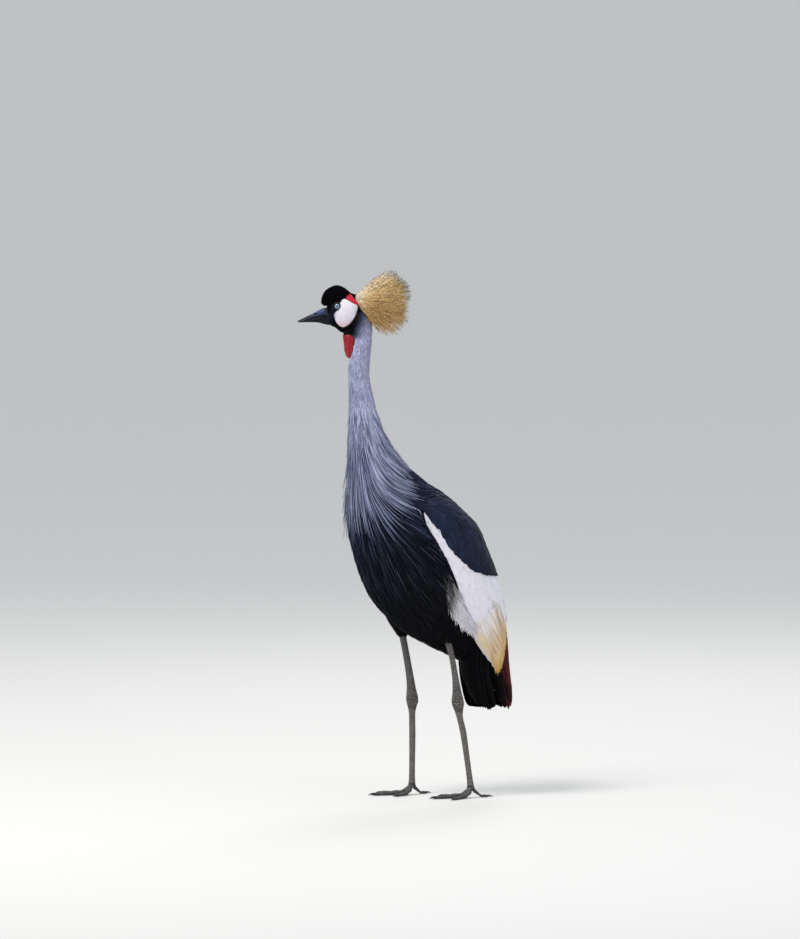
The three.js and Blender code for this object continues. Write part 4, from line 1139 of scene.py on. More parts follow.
# slate shoulder feathers and back
t, th = grid(mantle, 0.0, 7.6, lambda t: 6.6, lambda t: 8.0, rng)
L = np.interp(t, [0, 3, 6.9], [44, 70, 84]) * rng.uniform(0.85, 1.15, len(t))
P, pt = flow(mantle, t, th, L, 10, lambda t, th: -0.06 + 0 * t, 0.0)
u_, w_, slate_at, low_at = edges(P)
P, keep = trim(P, w_ - slate_at - rng.normal(0, 0.9, len(t))[:, None], 0.34)
_, _, rc0 = place_on(CORE, P[:, 3], core_egg)
keep &= rc0 > 0.97
P, t, th = P[keep], t[keep], th[keep]
n = len(t)
P0, N0 = lay(P, np.interp(t, [0, 1.5], [7.0, 4.5]), rng.uniform(0.0, 0.9, n), 0.7)
c0 = shade(srgb(12, 15, 26) + np.zeros((n, 1)), n, 0.25, rng)
c1 = shade(mix(srgb(24, 33, 57) + 0 * t[:, None], srgb(7, 9, 15) + 0 * t[:, None], smooth(t, 1.5, 6)), n, 0.25, rng)
coat.append(vanes("coat_shoulders", P0, N0, rng.uniform(5.0, 7.5, n) * np.interp(t, [0, 2.0], [0.7, 1.0]), mat_slate, c0, c1, atlas(t, 13, th), "round", 5, 0.4, 0.06, lean=rng.normal(0, 0.07, n), soft_n=0.22))

# golden plumes that hang over the folded wing
GOLD_ROOT = A([(180, 398), (168, 400), (146, 350), (128, 326), (138, 300), (156, 276), (176, 272), (184, 300), (187, 350)], float)
n = 60000
sgn = rng.choice([-1.0, 1.0], n)
t = rng.uniform(6.5, 11.8, n)
th = sgn * rng.uniform(0.3, 2.0, n)
u0, w0 = side_plane(surf(mantle, t, th))
d0 = outline_distance(GOLD_ROOT, u0, w0)
keep = (d0 < 0) & (rng.uniform(0, 1, n) < np.interp(w0 + 10 * np.sin(u0 * 0.7), [270, 310, 340, 400], [1.0, 0.6, 0.2, 0.06]))
t, th, sgn = t[keep][:2400], th[keep][:2400], sgn[keep][:2400]
n = len(t)
L = rng.uniform(40, 95, n)
P, pt = flow(mantle, t, th, L, 9, lambda t, th: 0.10 * np.sin(9 * th) + 0.06, 0.0, tmax=12.0)
u_, w_, _, low_at = edges(P)
P, keep = trim(P, w_ - low_at + 3 - rng.normal(0, 4.5, n)[:, None], 0.15)
P, t, th, sgn = P[keep], t[keep], th[keep], sgn[keep]
n = len(t)
k = np.linspace(0, 1, 10)
P0, N0 = lay(P, np.full(n, 1.4), rng.uniform(-1.5, 1.0, n), 0.8)
u1, w1 = side_plane(P0[:, -1])
deep = np.clip(smooth(u1 + (330 - w1) * 0.35, 148, 186) * 0.95 + 0.2 * rng.normal(size=n), 0, 1)
_, w00 = side_plane(P0[:, 0])
fade = smooth(w00, 270, 330)
c0 = mix(mix(srgb(240, 230, 206) + 0 * t[:, None], srgb(224, 186, 108) + 0 * t[:, None], deep), srgb(236, 233, 238) + 0 * t[:, None], fade)
c1 = mix(srgb(236, 220, 184) + 0 * t[:, None], srgb(208, 162, 76) + 0 * t[:, None], deep)
coat.append(vanes("coat_golden_plumes", P0, N0, rng.uniform(0.8, 1.7, n), mat_gold, shade(c0, n, 0.08, rng), shade(c1, n, 0.1, rng), atlas(t, 13, th), "hair", 3, 0.3, 0.1, lean=rng.normal(0, 0.3, n), soft_n=0.5))

# ---------------------------------------------------------------- folded flight feathers and tail
def on_loft(sec, T, TH, off):
    """Paths on a tube with their outward normals, off millimetres out of it."""
    p = surf(sec, T, TH)
    a = surf(sec, T + 0.02, TH) - p
    b = surf(sec, T, TH + 0.02) - p
    n = unit(np.cross(a, b))
    c = sec(T)[0]
    n = n * np.sign((n * (p - c)).sum(-1, keepdims=True))
    return p + n * off[..., None], n


def join(parts):
    return [np.concatenate(x) for x in zip(*parts)]


k = np.linspace(0, 1, 17)
parts = []
for layer, (off, count, t_from, t_to, w_half) in enumerate([(-7.5, 12, 9.0, 12.85, 11.0), (-4.2, 11, 8.6, 13.1, 10.5), (-1.6, 9, 8.3, 12.8, 10.0), (-0.5, 7, 8.0, 11.6, 9.0)]):
    for sgn in (1, -1):
        for j in range(count):
            g = (j + 0.5 * (layer % 2)) / (count - 1)
            th0 = math.radians(4 + 118 * g)
            te = t_to - (0.55 * g if layer else 0.25 * g) + rng.normal(0, 0.07)
            T = t_from + (te - t_from) * k
            TH = sgn * (th0 + 0.10 * np.sin(k * 3) * (0.5 - g)) + 0 * k
            o = off - 0.7 * g - 4.6 * (1 - smooth(T, 10.0, 11.7)) + rng.normal(0, 0.25)
            p, nn = on_loft(mantle, T, TH, o + 0 * k)
            a_here = np.interp(t_from + (te - t_from) * 0.6, np.arange(len(MANTLE)), MANTLE[:, 4])
            parts.append((p[None], nn[None], A([w_half * a_here / 66 * (1 + rng.normal(0, 0.06))]), A([[T[0], TH[0]]]), A([[g, layer]])))
P, N, half, root, gl = join(parts)
n = len(P)
maroon = smooth(0.8 - gl[:, 0], 0.0, 0.25)
c0 = shade(mix(COAL + np.zeros((n, 1)), srgb(66, 22, 26) + np.zeros((n, 1)), maroon), n, 0.16, rng)
c1 = shade(mix(srgb(12, 12, 15) + np.zeros((n, 1)), srgb(80, 28, 30) + np.zeros((n, 1)), maroon), n, 0.16, rng)
mat_flight = feather_material("flight_feathers", shaft=tuple(srgb(36, 30, 32)), shaft_width=0.03, shaft_power=0.6, rough=0.6, barb=0.45, sheen=0.0, spec=0.05, vary=0.5)
coat.append(vanes("wing_flights", P, N, half, mat_flight, c0, c1, atlas(root[:, 0], 13, root[:, 1]), "quill", 5, 0.5, 0.05, lean=-np.sign(root[:, 1]) * 0.05, soft_n=0.16, fray=0.02, rng=rng))
flights = coat[-1]

parts = []
for layer, (off, count, span, t_to) in enumerate([(-2.2, 16, 110, 5.0), (-5.5, 11, 150, 4.7), (-1.0, 9, 80, 4.9)]):
    for j in range(count):
        g = j / (count - 1) * 2 - 1
        T = 0.1 + (t_to - 0.25 * abs(g) - 0.1 + rng.normal(0, 0.04)) * k
        TH = math.radians(span) * g + 0 * k
        p, nn = on_loft(tail, T, TH, off + 0.5 * g + 0 * k)
        parts.append((p[None], nn[None], A([12.5]), A([[T[0], TH[0]]])))
P, N, half, root = join(parts)
n = len(P)
c0 = shade(COAL + np.zeros((n, 1)), n, 0.2, rng)
coat.append(vanes("tail_feathers", P, N, half, mat_flight, c0, c0 * 1.15, atlas(root[:, 0], 5, root[:, 1]), "quill", 5, 0.6, 0.05, soft_n=0.16, fray=0.02, rng=rng))
tail_piece = coat[-1]

# under tail coverts
t, th = grid(tail, 0.2, 3.2, lambda t: 6.5, lambda t: 8.0, rng)
back_ = np.cos(th) < 0.2
t, th = t[back_], th[back_]
P, pt = flow(tail, t, th, 48 * rng.uniform(0.8, 1.2, len(t)), 6, None, 0.0, tmax=4.4)
c_, _, _, _, _ = tail(pt)
nn = unit(P - c_)
k7 = np.linspace(0, 1, 7)
P0 = P + nn * (-3.5 * (1 - k7) + 0.1 * k7)[None, :, None]
n = len(t)
coat.append(vanes("coat_under_tail", P0, nn, rng.uniform(3.4, 4.6, n), mat_black, shade(COAL + np.zeros((n, 1)), n, 0.2, rng), shade(COAL + np.zeros((n, 1)), n, 0.2, rng), atlas(t, 5, th), "lance", 3, 0.4, 0.1))

# ---------------------------------------------------------------- head
skin_mesh.calc_loop_triangles()
tri = np.empty(len(skin_mesh.loop_triangles) * 3, np.int32)
skin_mesh.loop_triangles.foreach_get("vertices", tri)
tri = tri.reshape(-1, 3)


def scatter(density, n, rng):
    """n points spread on the skin's faces, thick where density is high."""
    p = skin_v[tri]
    area = np.linalg.norm(np.cross(p[:, 1] - p[:, 0], p[:, 2] - p[:, 0]), axis=1) / 2
    w = area * density[tri].mean(1)
    cum = np.cumsum(w)
    i = np.searchsorted(cum, (np.arange(n) + rng.uniform(0, 1, n)) / n * cum[-1])
    i = np.minimum(i, len(tri) - 1)
    a, b_ = rng.uniform(0, 1, n), rng.uniform(0, 1, n)
    flip = a + b_ > 1
    a, b_ = np.where(flip, 1 - a, a), np.where(flip, 1 - b_, b_)
    q = p[i, 0] * (1 - a - b_)[:, None] + p[i, 1] * a[:, None] + p[i, 2] * b_[:, None]
    nn = unit(skin_n[tri[i]].mean(1))
    return q, nn


def tufts(name, q, nn, lie, L, rise, curl, half, mat, c0, c1, k=3, uv=None, rng=None, profile="lance", bend=None):
    T = unit(lie - (lie * nn).sum(-1, keepdims=True) * nn)
    s_ = np.linspace(0, 1, k + 1)
    up_ = (np.sin(rise) * L)[:, None] * (s_ - curl[:, None] * s_ ** 2)[...]
    P = q[:, None] + T[:, None] * ((np.cos(rise) * L)[:, None] * s_)[..., None] + nn[:, None] * (up_ - 0.25)[..., None]
    if bend is not None:
        P = P + bend[:, None] * (s_ ** 2)[None, :, None]
    N = np.broadcast_to(nn[:, None], P.shape)
    return vanes(name, P, N, half, mat, c0, c1, uv, profile, 3, 0.12, 0.1, lean=rng.normal(0, 0.3, len(q)), soft_n=0.35)


def head_uv(q):
    d_ = q - A([-22.0, -155.0, 0.0])
    f_, _, s_ = head_plane(q)
    ang = np.arctan2(s_, f_ - 28)
    return np.stack([0.02 + 0.96 * (ang / (2 * math.pi) + 0.5), 0.02 + 0.96 * np.clip((q[:, 2] - 905) / 130, 0, 1)], -1)


eye_gap = np.full(len(skin_v), 1e9)
for sx in (1, -1):
    eye_gap = np.minimum(eye_gap, np.linalg.norm(skin_v - head_point(EYE_AT[0], EYE_AT[1], sx * EYE_AT[2]), axis=1))
f, h, s = head_plane(skin_v)
# inside the bill's own root there is no coat
bt = np.interp(f, BILL_UPPER[:, 0], np.arange(7))
bu, bl = at(BILL_UPPER, bt), at(BILL_LOWER, bt)
bmid, bhalf = (bu[:, 1] + bl[:, 2]) / 2, (bu[:, 1] - bl[:, 2]) / 2
in_bill = (f > 60) & (np.hypot((skin_v[:, 2] - bmid) / bhalf, s / bu[:, 3]) < 1.0)
free = (1 - smooth(bare_all, 0.15, 0.5)) * (eye_gap > 8.1) * ~in_bill
cap_w = smooth(h, 986, 990) * smooth(f, 14, 20)
cap_w = np.maximum(cap_w, smooth(f, 60, 64) * smooth(h, 962, 968))
face_w = (1 - cap_w) * smooth(skin_v[:, 2], 914, 917)

n = 7600
q, nn = scatter(free * face_w * np.interp(skin_v[:, 2], [915, 940, 990], [0.55, 0.8, 1.3]), n, rng)
fq, hq, sq = head_plane(q)
kl = smooth(-hq, -986, -938)
lie = -AHEAD * (1 - 0.8 * kl)[:, None] - UP * (0.12 + 0.95 * kl)[:, None] + rng.normal(0, 0.10, (n, 3))
L = np.interp(hq, [912, 930, 950, 975, 1000], [11, 8.0, 5.5, 3.8, 3.6]) * rng.uniform(0.75, 1.25, n)
L = np.where(fq < 8, np.maximum(L, 7.5), L)
L = np.where((hq < 928) & (fq > 26), L * 0.55, L)
cq = head_marks(q)[0]
dq = head_marks(q)[2]
# tufts along the bare cheek's edge are painted at about a third of their colour: painted shade in the crease where the
# feathers meet the raised cheek
cq = mix(cq, cq * 0.35, smooth(-dq, -1.4, 0.2))
black_ = cq.sum(1) < 0.12
c0 = shade(cq, n, 0.15, rng)
c1 = np.where(black_[:, None], shade(c0 * 1.5, n, 0.25, rng), shade(c0 * 1.15, n, 0.1, rng))
coat.append(tufts("coat_face", q, nn, lie, L, np.radians(rng.normal(15, 4, n)), np.full(n, 0.45), np.interp(L, [3, 11], [0.55, 1.25]) * rng.uniform(0.8, 1.2, n), mat_velvet, c0, c1, 3, head_uv(q), rng))

n = 7600
q, nn = scatter(free * cap_w, n, rng)
fq, hq, sq = head_plane(q)
front = smooth(fq, 62, 74)
lie = -AHEAD[None] * (1 - 0.6 * front)[:, None] + UP * (0.05 + 0.9 * front)[:, None] + rng.normal(0, 0.16, (n, 3))
L = np.interp(hq, [962, 985, 1010], [3.0, 3.6, 4.3]) * rng.uniform(0.75, 1.25, n)
c0 = shade(srgb(7, 7, 9) + np.zeros((n, 1)), n, 0.25, rng)
c1 = shade(srgb(12, 12, 16) + np.zeros((n, 1)), n, 0.4, rng)
coat.append(tufts("coat_cap", q, nn, lie, L, np.radians(rng.normal(32, 8, n)), np.full(n, 0.4), rng.uniform(0.35, 0.6, n), mat_velvet, c0, c1, 3, head_uv(q), rng))

# nape tuft over the root of the crest
n = 900
w_nape = free * smooth(12 - f, 0, 5) * smooth(h, 975, 983) + free * smooth(h, 996, 1000) * smooth(22 - f, 0, 6)
q, nn = scatter(w_nape, n, rng)
fq, hq, sq = head_plane(q)
lie = -AHEAD[None] * 1.0 + UP * np.interp(hq, [975, 1000], [-0.5, 0.35])[:, None] + rng.normal(0, 0.12, (n, 3))
L = rng.uniform(9, 17, n)
grey_ = smooth(-hq, -992, -978)
c0 = shade(mix(srgb(8, 8, 10) + np.zeros((n, 1)), srgb(40, 42, 50) + np.zeros((n, 1)), grey_), n, 0.25, rng)
coat.append(tufts("coat_nape", q, nn, lie, L, np.radians(rng.normal(14, 6, n)), np.full(n, 0.5), rng.uniform(0.5, 0.9, n), mat_velvet, c0, c0 * 1.6, 4, head_uv(q), rng))

# ---------------------------------------------------------------- crest
axis = unit(A([-AHEAD[0], -AHEAD[1], -0.01]))
base = head_point(*CREST_BASE)
# reach of the bristles by angle off the crest's axis, in its upper and lower half
CREST_TOP = A([(0, 98), (16.3, 96.5), (28.3, 90), (39.6, 85), (46, 78), (50, 68), (54, 52), (58, 36), (64, 24)], float)
CREST_LOW = A([(0, 96), (15.2, 96.8), (25.3, 100), (34, 102), (40.8, 100.5), (48, 92), (54.8, 82), (59.2, 70), (62, 52), (67.8, 33.5)], float)
n = 2900
e1 = unit(np.cross(axis, UP))
e2 = np.cross(e1, axis)
psi = np.arccos(1 - rng.uniform(0, 1, n) * (1 - math.cos(math.radians(63)))) * np.where(rng.uniform(0, 1, n) < 0.18, 0.5, 1.0)
phi = rng.uniform(0, 2 * math.pi, n)
side_dir = e1 * np.cos(phi)[:, None] + e2 * np.sin(phi)[:, None]
reach = mix(np.interp(np.degrees(psi), CREST_LOW[:, 0], CREST_LOW[:, 1])[:, None], np.interp(np.degrees(psi), CREST_TOP[:, 0], CREST_TOP[:, 1])[:, None], smooth(side_dir @ UP, -0.7, 0.7))[:, 0] * 1.03
under = np.arange(n) < 850  # broad short feathers beneath the bristles
reach = np.where(under, reach * rng.uniform(0.66, 0.82, n), reach)
L = reach * np.clip(rng.normal(0.96, 0.03, n), 0.7, 1.0)
long_ = ~under & (rng.uniform(0, 1, n) < 0.6 * (0.75 + 0.45 * (side_dir @ UP))) & (rng.uniform(0, 1, n) < np.exp(-((side_dir @ ASIDE) * np.sin(psi) / 0.24) ** 2))
L = np.where(long_, reach * rng.uniform(1.0, 1.07, n), L)
tip = base + (axis * np.cos(psi)[:, None] + side_dir * np.sin(psi)[:, None]) * L[:, None]
root_r = 7.5 * np.sqrt(rng.uniform(0, 1, n)) * 0.5 + 6.5 * np.sin(psi)
root = base + side_dir * root_r[:, None] + axis * rng.uniform(-7, 1, n)[:, None]
K = 10
s_ = np.linspace(0, 1, K + 1)
mid = root + (tip - root) * 0.45 + axis * (L * 0.10 * np.sin(psi))[:, None] + rng.normal(0, 1.6, (n, 3))
P = ((1 - s_) ** 2)[None, :, None] * root[:, None] + (2 * s_ * (1 - s_))[None, :, None] * mid[:, None] + (s_ ** 2)[None, :, None] * tip[:, None]
tan = unit(np.gradient(P, axis=1))
sa = unit(np.cross(tan, axis + 0.3 * UP))
sb = np.cross(tan, sa)
wig = rng.uniform(0, 6.28, (n, 1)) + s_[None] * rng.uniform(10, 22, (n, 1))
amp = (rng.uniform(0.25, 1.0, (n, 1)) * np.minimum(1, s_ * 3)[None])
P = P + sa * (np.cos(wig) * amp)[..., None] + sb * (np.sin(wig) * amp)[..., None]
rad = (rng.uniform(0.42, 0.68, n)[:, None] * PROFILES["bristle"](s_)[None])
twist = rng.uniform(0, 6.28, (n, 1)) + s_[None] * rng.uniform(8, 16, (n, 1))
wide = (1 + under[:, None] * 2.3 * s_[None]) * (1 - under[:, None] * s_[None] ** 5 * 0.8)
twist = np.where(under[:, None], 0.5, twist)
co = np.empty((n, K + 1, 3, 3))
nr = np.empty_like(co)
for j in range(3):
    a_ = twist + j * 2 * math.pi / 3
    dirn = sa * (np.cos(a_) * 1.25 * wide)[..., None] + sb * (np.sin(a_) * 0.8)[..., None]
    co[:, :, j] = P + dirn * rad[..., None]
    nr[:, :, j] = unit(unit(dirn) * 0.55 + unit(P - base - axis * 30) * 0.75)
bs = (np.arange(n)[:, None, None] * (K + 1) + np.arange(K)[None, :, None]) * 3
j0 = np.arange(3)
j1 = (j0 + 1) % 3
quads = np.stack([bs + j0, bs + j1, bs + j1 + 3, bs + j0 + 3], -1).reshape(-1, 4)
first = np.arange(n) * (K + 1) * 3
last = first + K * 3
tris = np.concatenate([np.stack([first, first + 2, first + 1], -1), np.stack([last, last + 1, last + 2], -1)])
elev = side_dir @ UP * np.sin(psi)  # -1 low, +1 high
# the lower bristles are painted deeper, more orange gold: painted shade on the crest's underside
low = np.clip(0.42 - elev * 0.7 + 0.25 * rng.normal(size=n), 0, 1)
c_base = mix(srgb(255, 242, 230) + np.zeros((n, 1)), srgb(246, 218, 180) + np.zeros((n, 1)), low)
c_mid = mix(srgb(255, 228, 184) + np.zeros((n, 1)), srgb(252, 196, 130) + np.zeros((n, 1)), low)
c_out = mix(srgb(255, 218, 160) + np.zeros((n, 1)), srgb(250, 190, 116) + np.zeros((n, 1)), low)
# the upper bristles are painted paler, towards cream: painted highlight on the crest's top
high = smooth(elev, 0.3, 0.75)
c_mid = mix(c_mid, srgb(255, 236, 212), high * 0.8)
c_out = mix(c_out, srgb(255, 226, 190), high * 0.8)
c_tip = mix(c_out, srgb(36, 24, 18) + np.zeros((n, 1)), long_ * 0.95)
# the broad feathers beneath the bristles are painted darker (0.86): painted shade under the bristles
tint_ = (1 + (0.1 + 0.12 * low)[:, None] * rng.normal(size=(n, 1))) * np.where(under, 0.86, 1.0)[:, None]
k1_, k2_, k3_ = smooth(s_, 0.15, 0.5)[None], smooth(s_, 0.5, 0.88)[None], smooth(s_, 0.86, 0.93)[None]
col = c_base[:, None] * (1 - k1_)[..., None] + c_mid[:, None] * k1_[..., None]
col = col * (1 - k2_)[..., None] + c_out[:, None] * k2_[..., None]
col = col * (1 - k3_)[..., None] + c_tip[:, None] * k3_[..., None]
# each bristle is painted lighter and darker as it twists along its length: painted sheen where the turning strand faces
# the light
pale_dark = (0.5 + 0.5 * np.cos(twist))[..., None]
col = col * tint_[:, None] * (0.94 + 0.16 * pale_dark)
col = np.broadcast_to(col[:, :, None], (n, K + 1, 3, 3)).copy()
# one of each bristle's three edges is painted a little darker: painted shade on that side
col[:, :, 1] *= 0.95
uv0 = np.stack([0.02 + 0.96 * phi / (2 * math.pi), 0.02 + 0.96 * psi / 1.1], -1)
uvv = np.empty((n, K + 1, 3, 2))
uvv[..., 0] = uv0[:, None, None, 0] + 0.0014 * A([-1, 0, 1])
uvv[..., 1] = uv0[:, None, None, 1] + 0.0014 * (2 * s_ - 1)[None, :, None]
vn = np.zeros((n, K + 1, 3, 3))
vn[..., 0] = A([-0.6, 0, 0.6])
vn[..., 1] = (s_[None] * L[:, None])[..., None]
vn[..., 2] = ((np.arange(n) * 0.618034) % 1.0)[:, None, None]
crest = make_mesh("crest_bristles", co.reshape(-1, 3), quads, tris, mat_bristle, np.clip(col, 0, 1).reshape(-1, 3), uvv.reshape(-1, 2), vn.reshape(-1, 3), nr.reshape(-1, 3))
coat.append(crest)

# ---------------------------------------------------------------- bill
m_bill, nt, b = material("bill_horn")
c = node(nt, "ShaderNodeAttribute", attribute_name="Col").outputs["Color"]
geo = nt.nodes.new("ShaderNodeTexCoord")
n1 = node(nt, "ShaderNodeTexNoise", Scale=160.0, Detail=4.0, Roughness=0.55)
nt.links.new(geo.outputs["Object"], n1.inputs["Vector"])
kk = nt.nodes.new("ShaderNodeCombineXYZ")
k_ = math_node(nt, "ADD", 0.75, math_node(nt, "MULTIPLY", n1.outputs[0], 0.5))
for i in range(3):
    nt.links.new(k_, kk.inputs[i])
nt.links.new(mix_colour(nt, 1.0, c, kk.outputs[0], "MULTIPLY"), b.inputs["Base Color"])
b.inputs["Roughness"].default_value = 0.4
b.inputs["Specular IOR Level"].default_value = 0.17
bump = node(nt, "ShaderNodeBump", Strength=0.35, Distance=0.0003)
nt.links.new(n1.outputs[0], bump.inputs["Height"])
nt.links.new(bump.outputs[0], b.inputs["Normal"])


def bill_half(name, table, upper):
    first = table[0].copy()
    first[0] -= 9
    first[3] += 0.2
    table = np.concatenate([first[None], table])
    rings = 130
    t = np.linspace(0, len(table) - 1, rings)
    r = at(table, t)
    th = np.linspace(-math.pi / 2, math.pi / 2, 41)
    gape = np.interp(r[:, 0], BILL_UPPER[:, 0], BILL_UPPER[:, 2])
    gape = np.where(r[:, 0] < BILL_UPPER[0, 0], BILL_UPPER[0, 2], gape)
    flat = np.linspace(0.94, -0.94, 9)
    pts, nrm_s = [], []
    for i in range(rings):
        f_, top, low, w = r[i]
        if upper:
            z0, hgt = low, top - low
            ss = w * np.sign(np.sin(th)) * np.abs(np.sin(th)) ** 0.92
            zz = z0 + hgt * np.cos(th) ** 0.9
            edge_z = z0
        else:
            z0, hgt = gape[i] - 0.45, max(gape[i] - 0.45 - low, 0.2)
            ss = w * np.sign(np.sin(th)) * np.abs(np.sin(th)) ** 0.85 * 0.95
            zz = z0 - hgt * np.cos(th) ** 0.85
            edge_z = z0
        ring_s = np.concatenate([ss, w * (1 if upper else 0.95) * flat])
        ring_z = np.concatenate([zz, np.full(9, edge_z) + (0.25 if upper else -0.25) * (1 - np.abs(flat))])
        pts.append(head_point(np.full(len(ring_s), f_), ring_z, ring_s))
    co = np.stack(pts)
    rn, sd = co.shape[:2]
    f_, h_, s2 = head_plane(co.reshape(-1, 3))
    f_, h_, s2 = f_.reshape(rn, sd), h_.reshape(rn, sd), s2.reshape(rn, sd)
    z_ = co[..., 2]
    inward = -ASIDE * np.sign(s2)[..., None]
    if upper:
        nz = 969.3 - (f_ - 92.5) * 0.2
        pit = np.exp(-(((f_ - 91.5) / 3.3) ** 4) - ((z_ - nz) / 1.35) ** 4) * (np.abs(s2) > 1.5)
        groove = np.exp(-((z_ - (969.8 - (f_ - 84) * 0.14)) / 1.6) ** 2) * smooth(f_, 66, 72) * smooth(106 - f_, 0, 10) * (np.abs(s2) > 2)
        co = co + inward * (1.5 * pit + 0.45 * groove)[..., None]
        # the upper bill is painted lighter slate blue from just above the gape upwards, fading towards the tip, and
        # left dark along the gape: painted highlight on its top and sides
        lit = smooth(z_ - gape[:, None], 0.5, 5)
        col = mix(srgb(24, 30, 47) + 0 * co, srgb(56, 70, 108) + 0 * co, lit * smooth(118 - f_, 0, 30))
        col = mix(col, srgb(22, 27, 40) + 0 * co, smooth(82 - f_, 0, 13) * 0.85)
        col = mix(col, srgb(34, 38, 50) + 0 * co, smooth(f_, 98, 122) * 0.8)
        col = mix(col, srgb(52, 58, 74) + 0 * co, groove * 0.5)
        # the nostril pit is painted near-black: painted shade for the depth of the pit
        col = mix(col, srgb(5, 5, 6) + 0 * co, np.clip(pit * 1.3, 0, 1))
        col = mix(col, srgb(26, 28, 34) + 0 * co, smooth(1.0 - (z_ - gape[:, None]), 0, 1) * 0.7)
    else:
        col = mix(srgb(10, 13, 22) + 0 * co, srgb(10, 12, 18) + 0 * co, smooth(f_, 80, 110))
        col = mix(col, srgb(14, 17, 27) + 0 * co, smooth(82 - f_, 0, 12) * 0.8)
        col = mix(col, srgb(32, 38, 58) + 0 * co, smooth(f_, 72, 84) * np.exp(-((z_ - gape[:, None] + 4) / 2.0) ** 2) * 0.5)
    kk_, jj = np.meshgrid(np.arange(rn - 1), np.arange(sd), indexing="ij")
    a_ = kk_ * sd + jj
    b2 = kk_ * sd + (jj + 1) % sd
    quads = np.stack([a_, b2, b2 + sd, a_ + sd], -1).reshape(-1, 4)
    co = co.reshape(-1, 3)
    c0_, c1_ = co[:sd].mean(0), co[-sd:].mean(0)
    co = np.concatenate([co, c0_[None], c1_[None]])
    col = np.concatenate([col.reshape(-1, 3), col.reshape(-1, 3)[:1], col.reshape(-1, 3)[-1:]])
    j_ = np.arange(sd)
    i0, i1 = rn * sd, rn * sd + 1
    tris = np.concatenate([np.stack([(j_ + 1) % sd, j_, 0 * j_ + i0], -1), np.stack([(rn - 1) * sd + j_, (rn - 1) * sd + (j_ + 1) % sd, 0 * j_ + i1], -1)])
    if upper:
        quads, tris = quads[:, ::-1], tris[:, ::-1]
    o = make_mesh(name, co, quads.copy(), tris.copy(), m_bill, col)
    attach(o, "root")
    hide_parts(name)
    return o


bill_half("bill_upper", BILL_UPPER, True)
bill_half("bill_lower", BILL_LOWER, False)

# ---------------------------------------------------------------- eyes and lids
m_eye, nt, b = material("eye")
c = node(nt, "ShaderNodeAttribute", attribute_name="Col").outputs["Color"]
nt.links.new(c, b.inputs["Base Color"])
b.inputs["Roughness"].default_value = 0.12
b.inputs["Specular IOR Level"].default_value = 0.6
b.inputs["Coat Weight"].default_value = 1.0
b.inputs["Coat Roughness"].default_value = 0.02
b.inputs["Coat IOR"].default_value = 1.45
m_lid, nt, b = material("lid")
b.inputs["Base Color"].default_value = (*srgb(26, 27, 32), 1)
b.inputs["Roughness"].default_value = 0.45

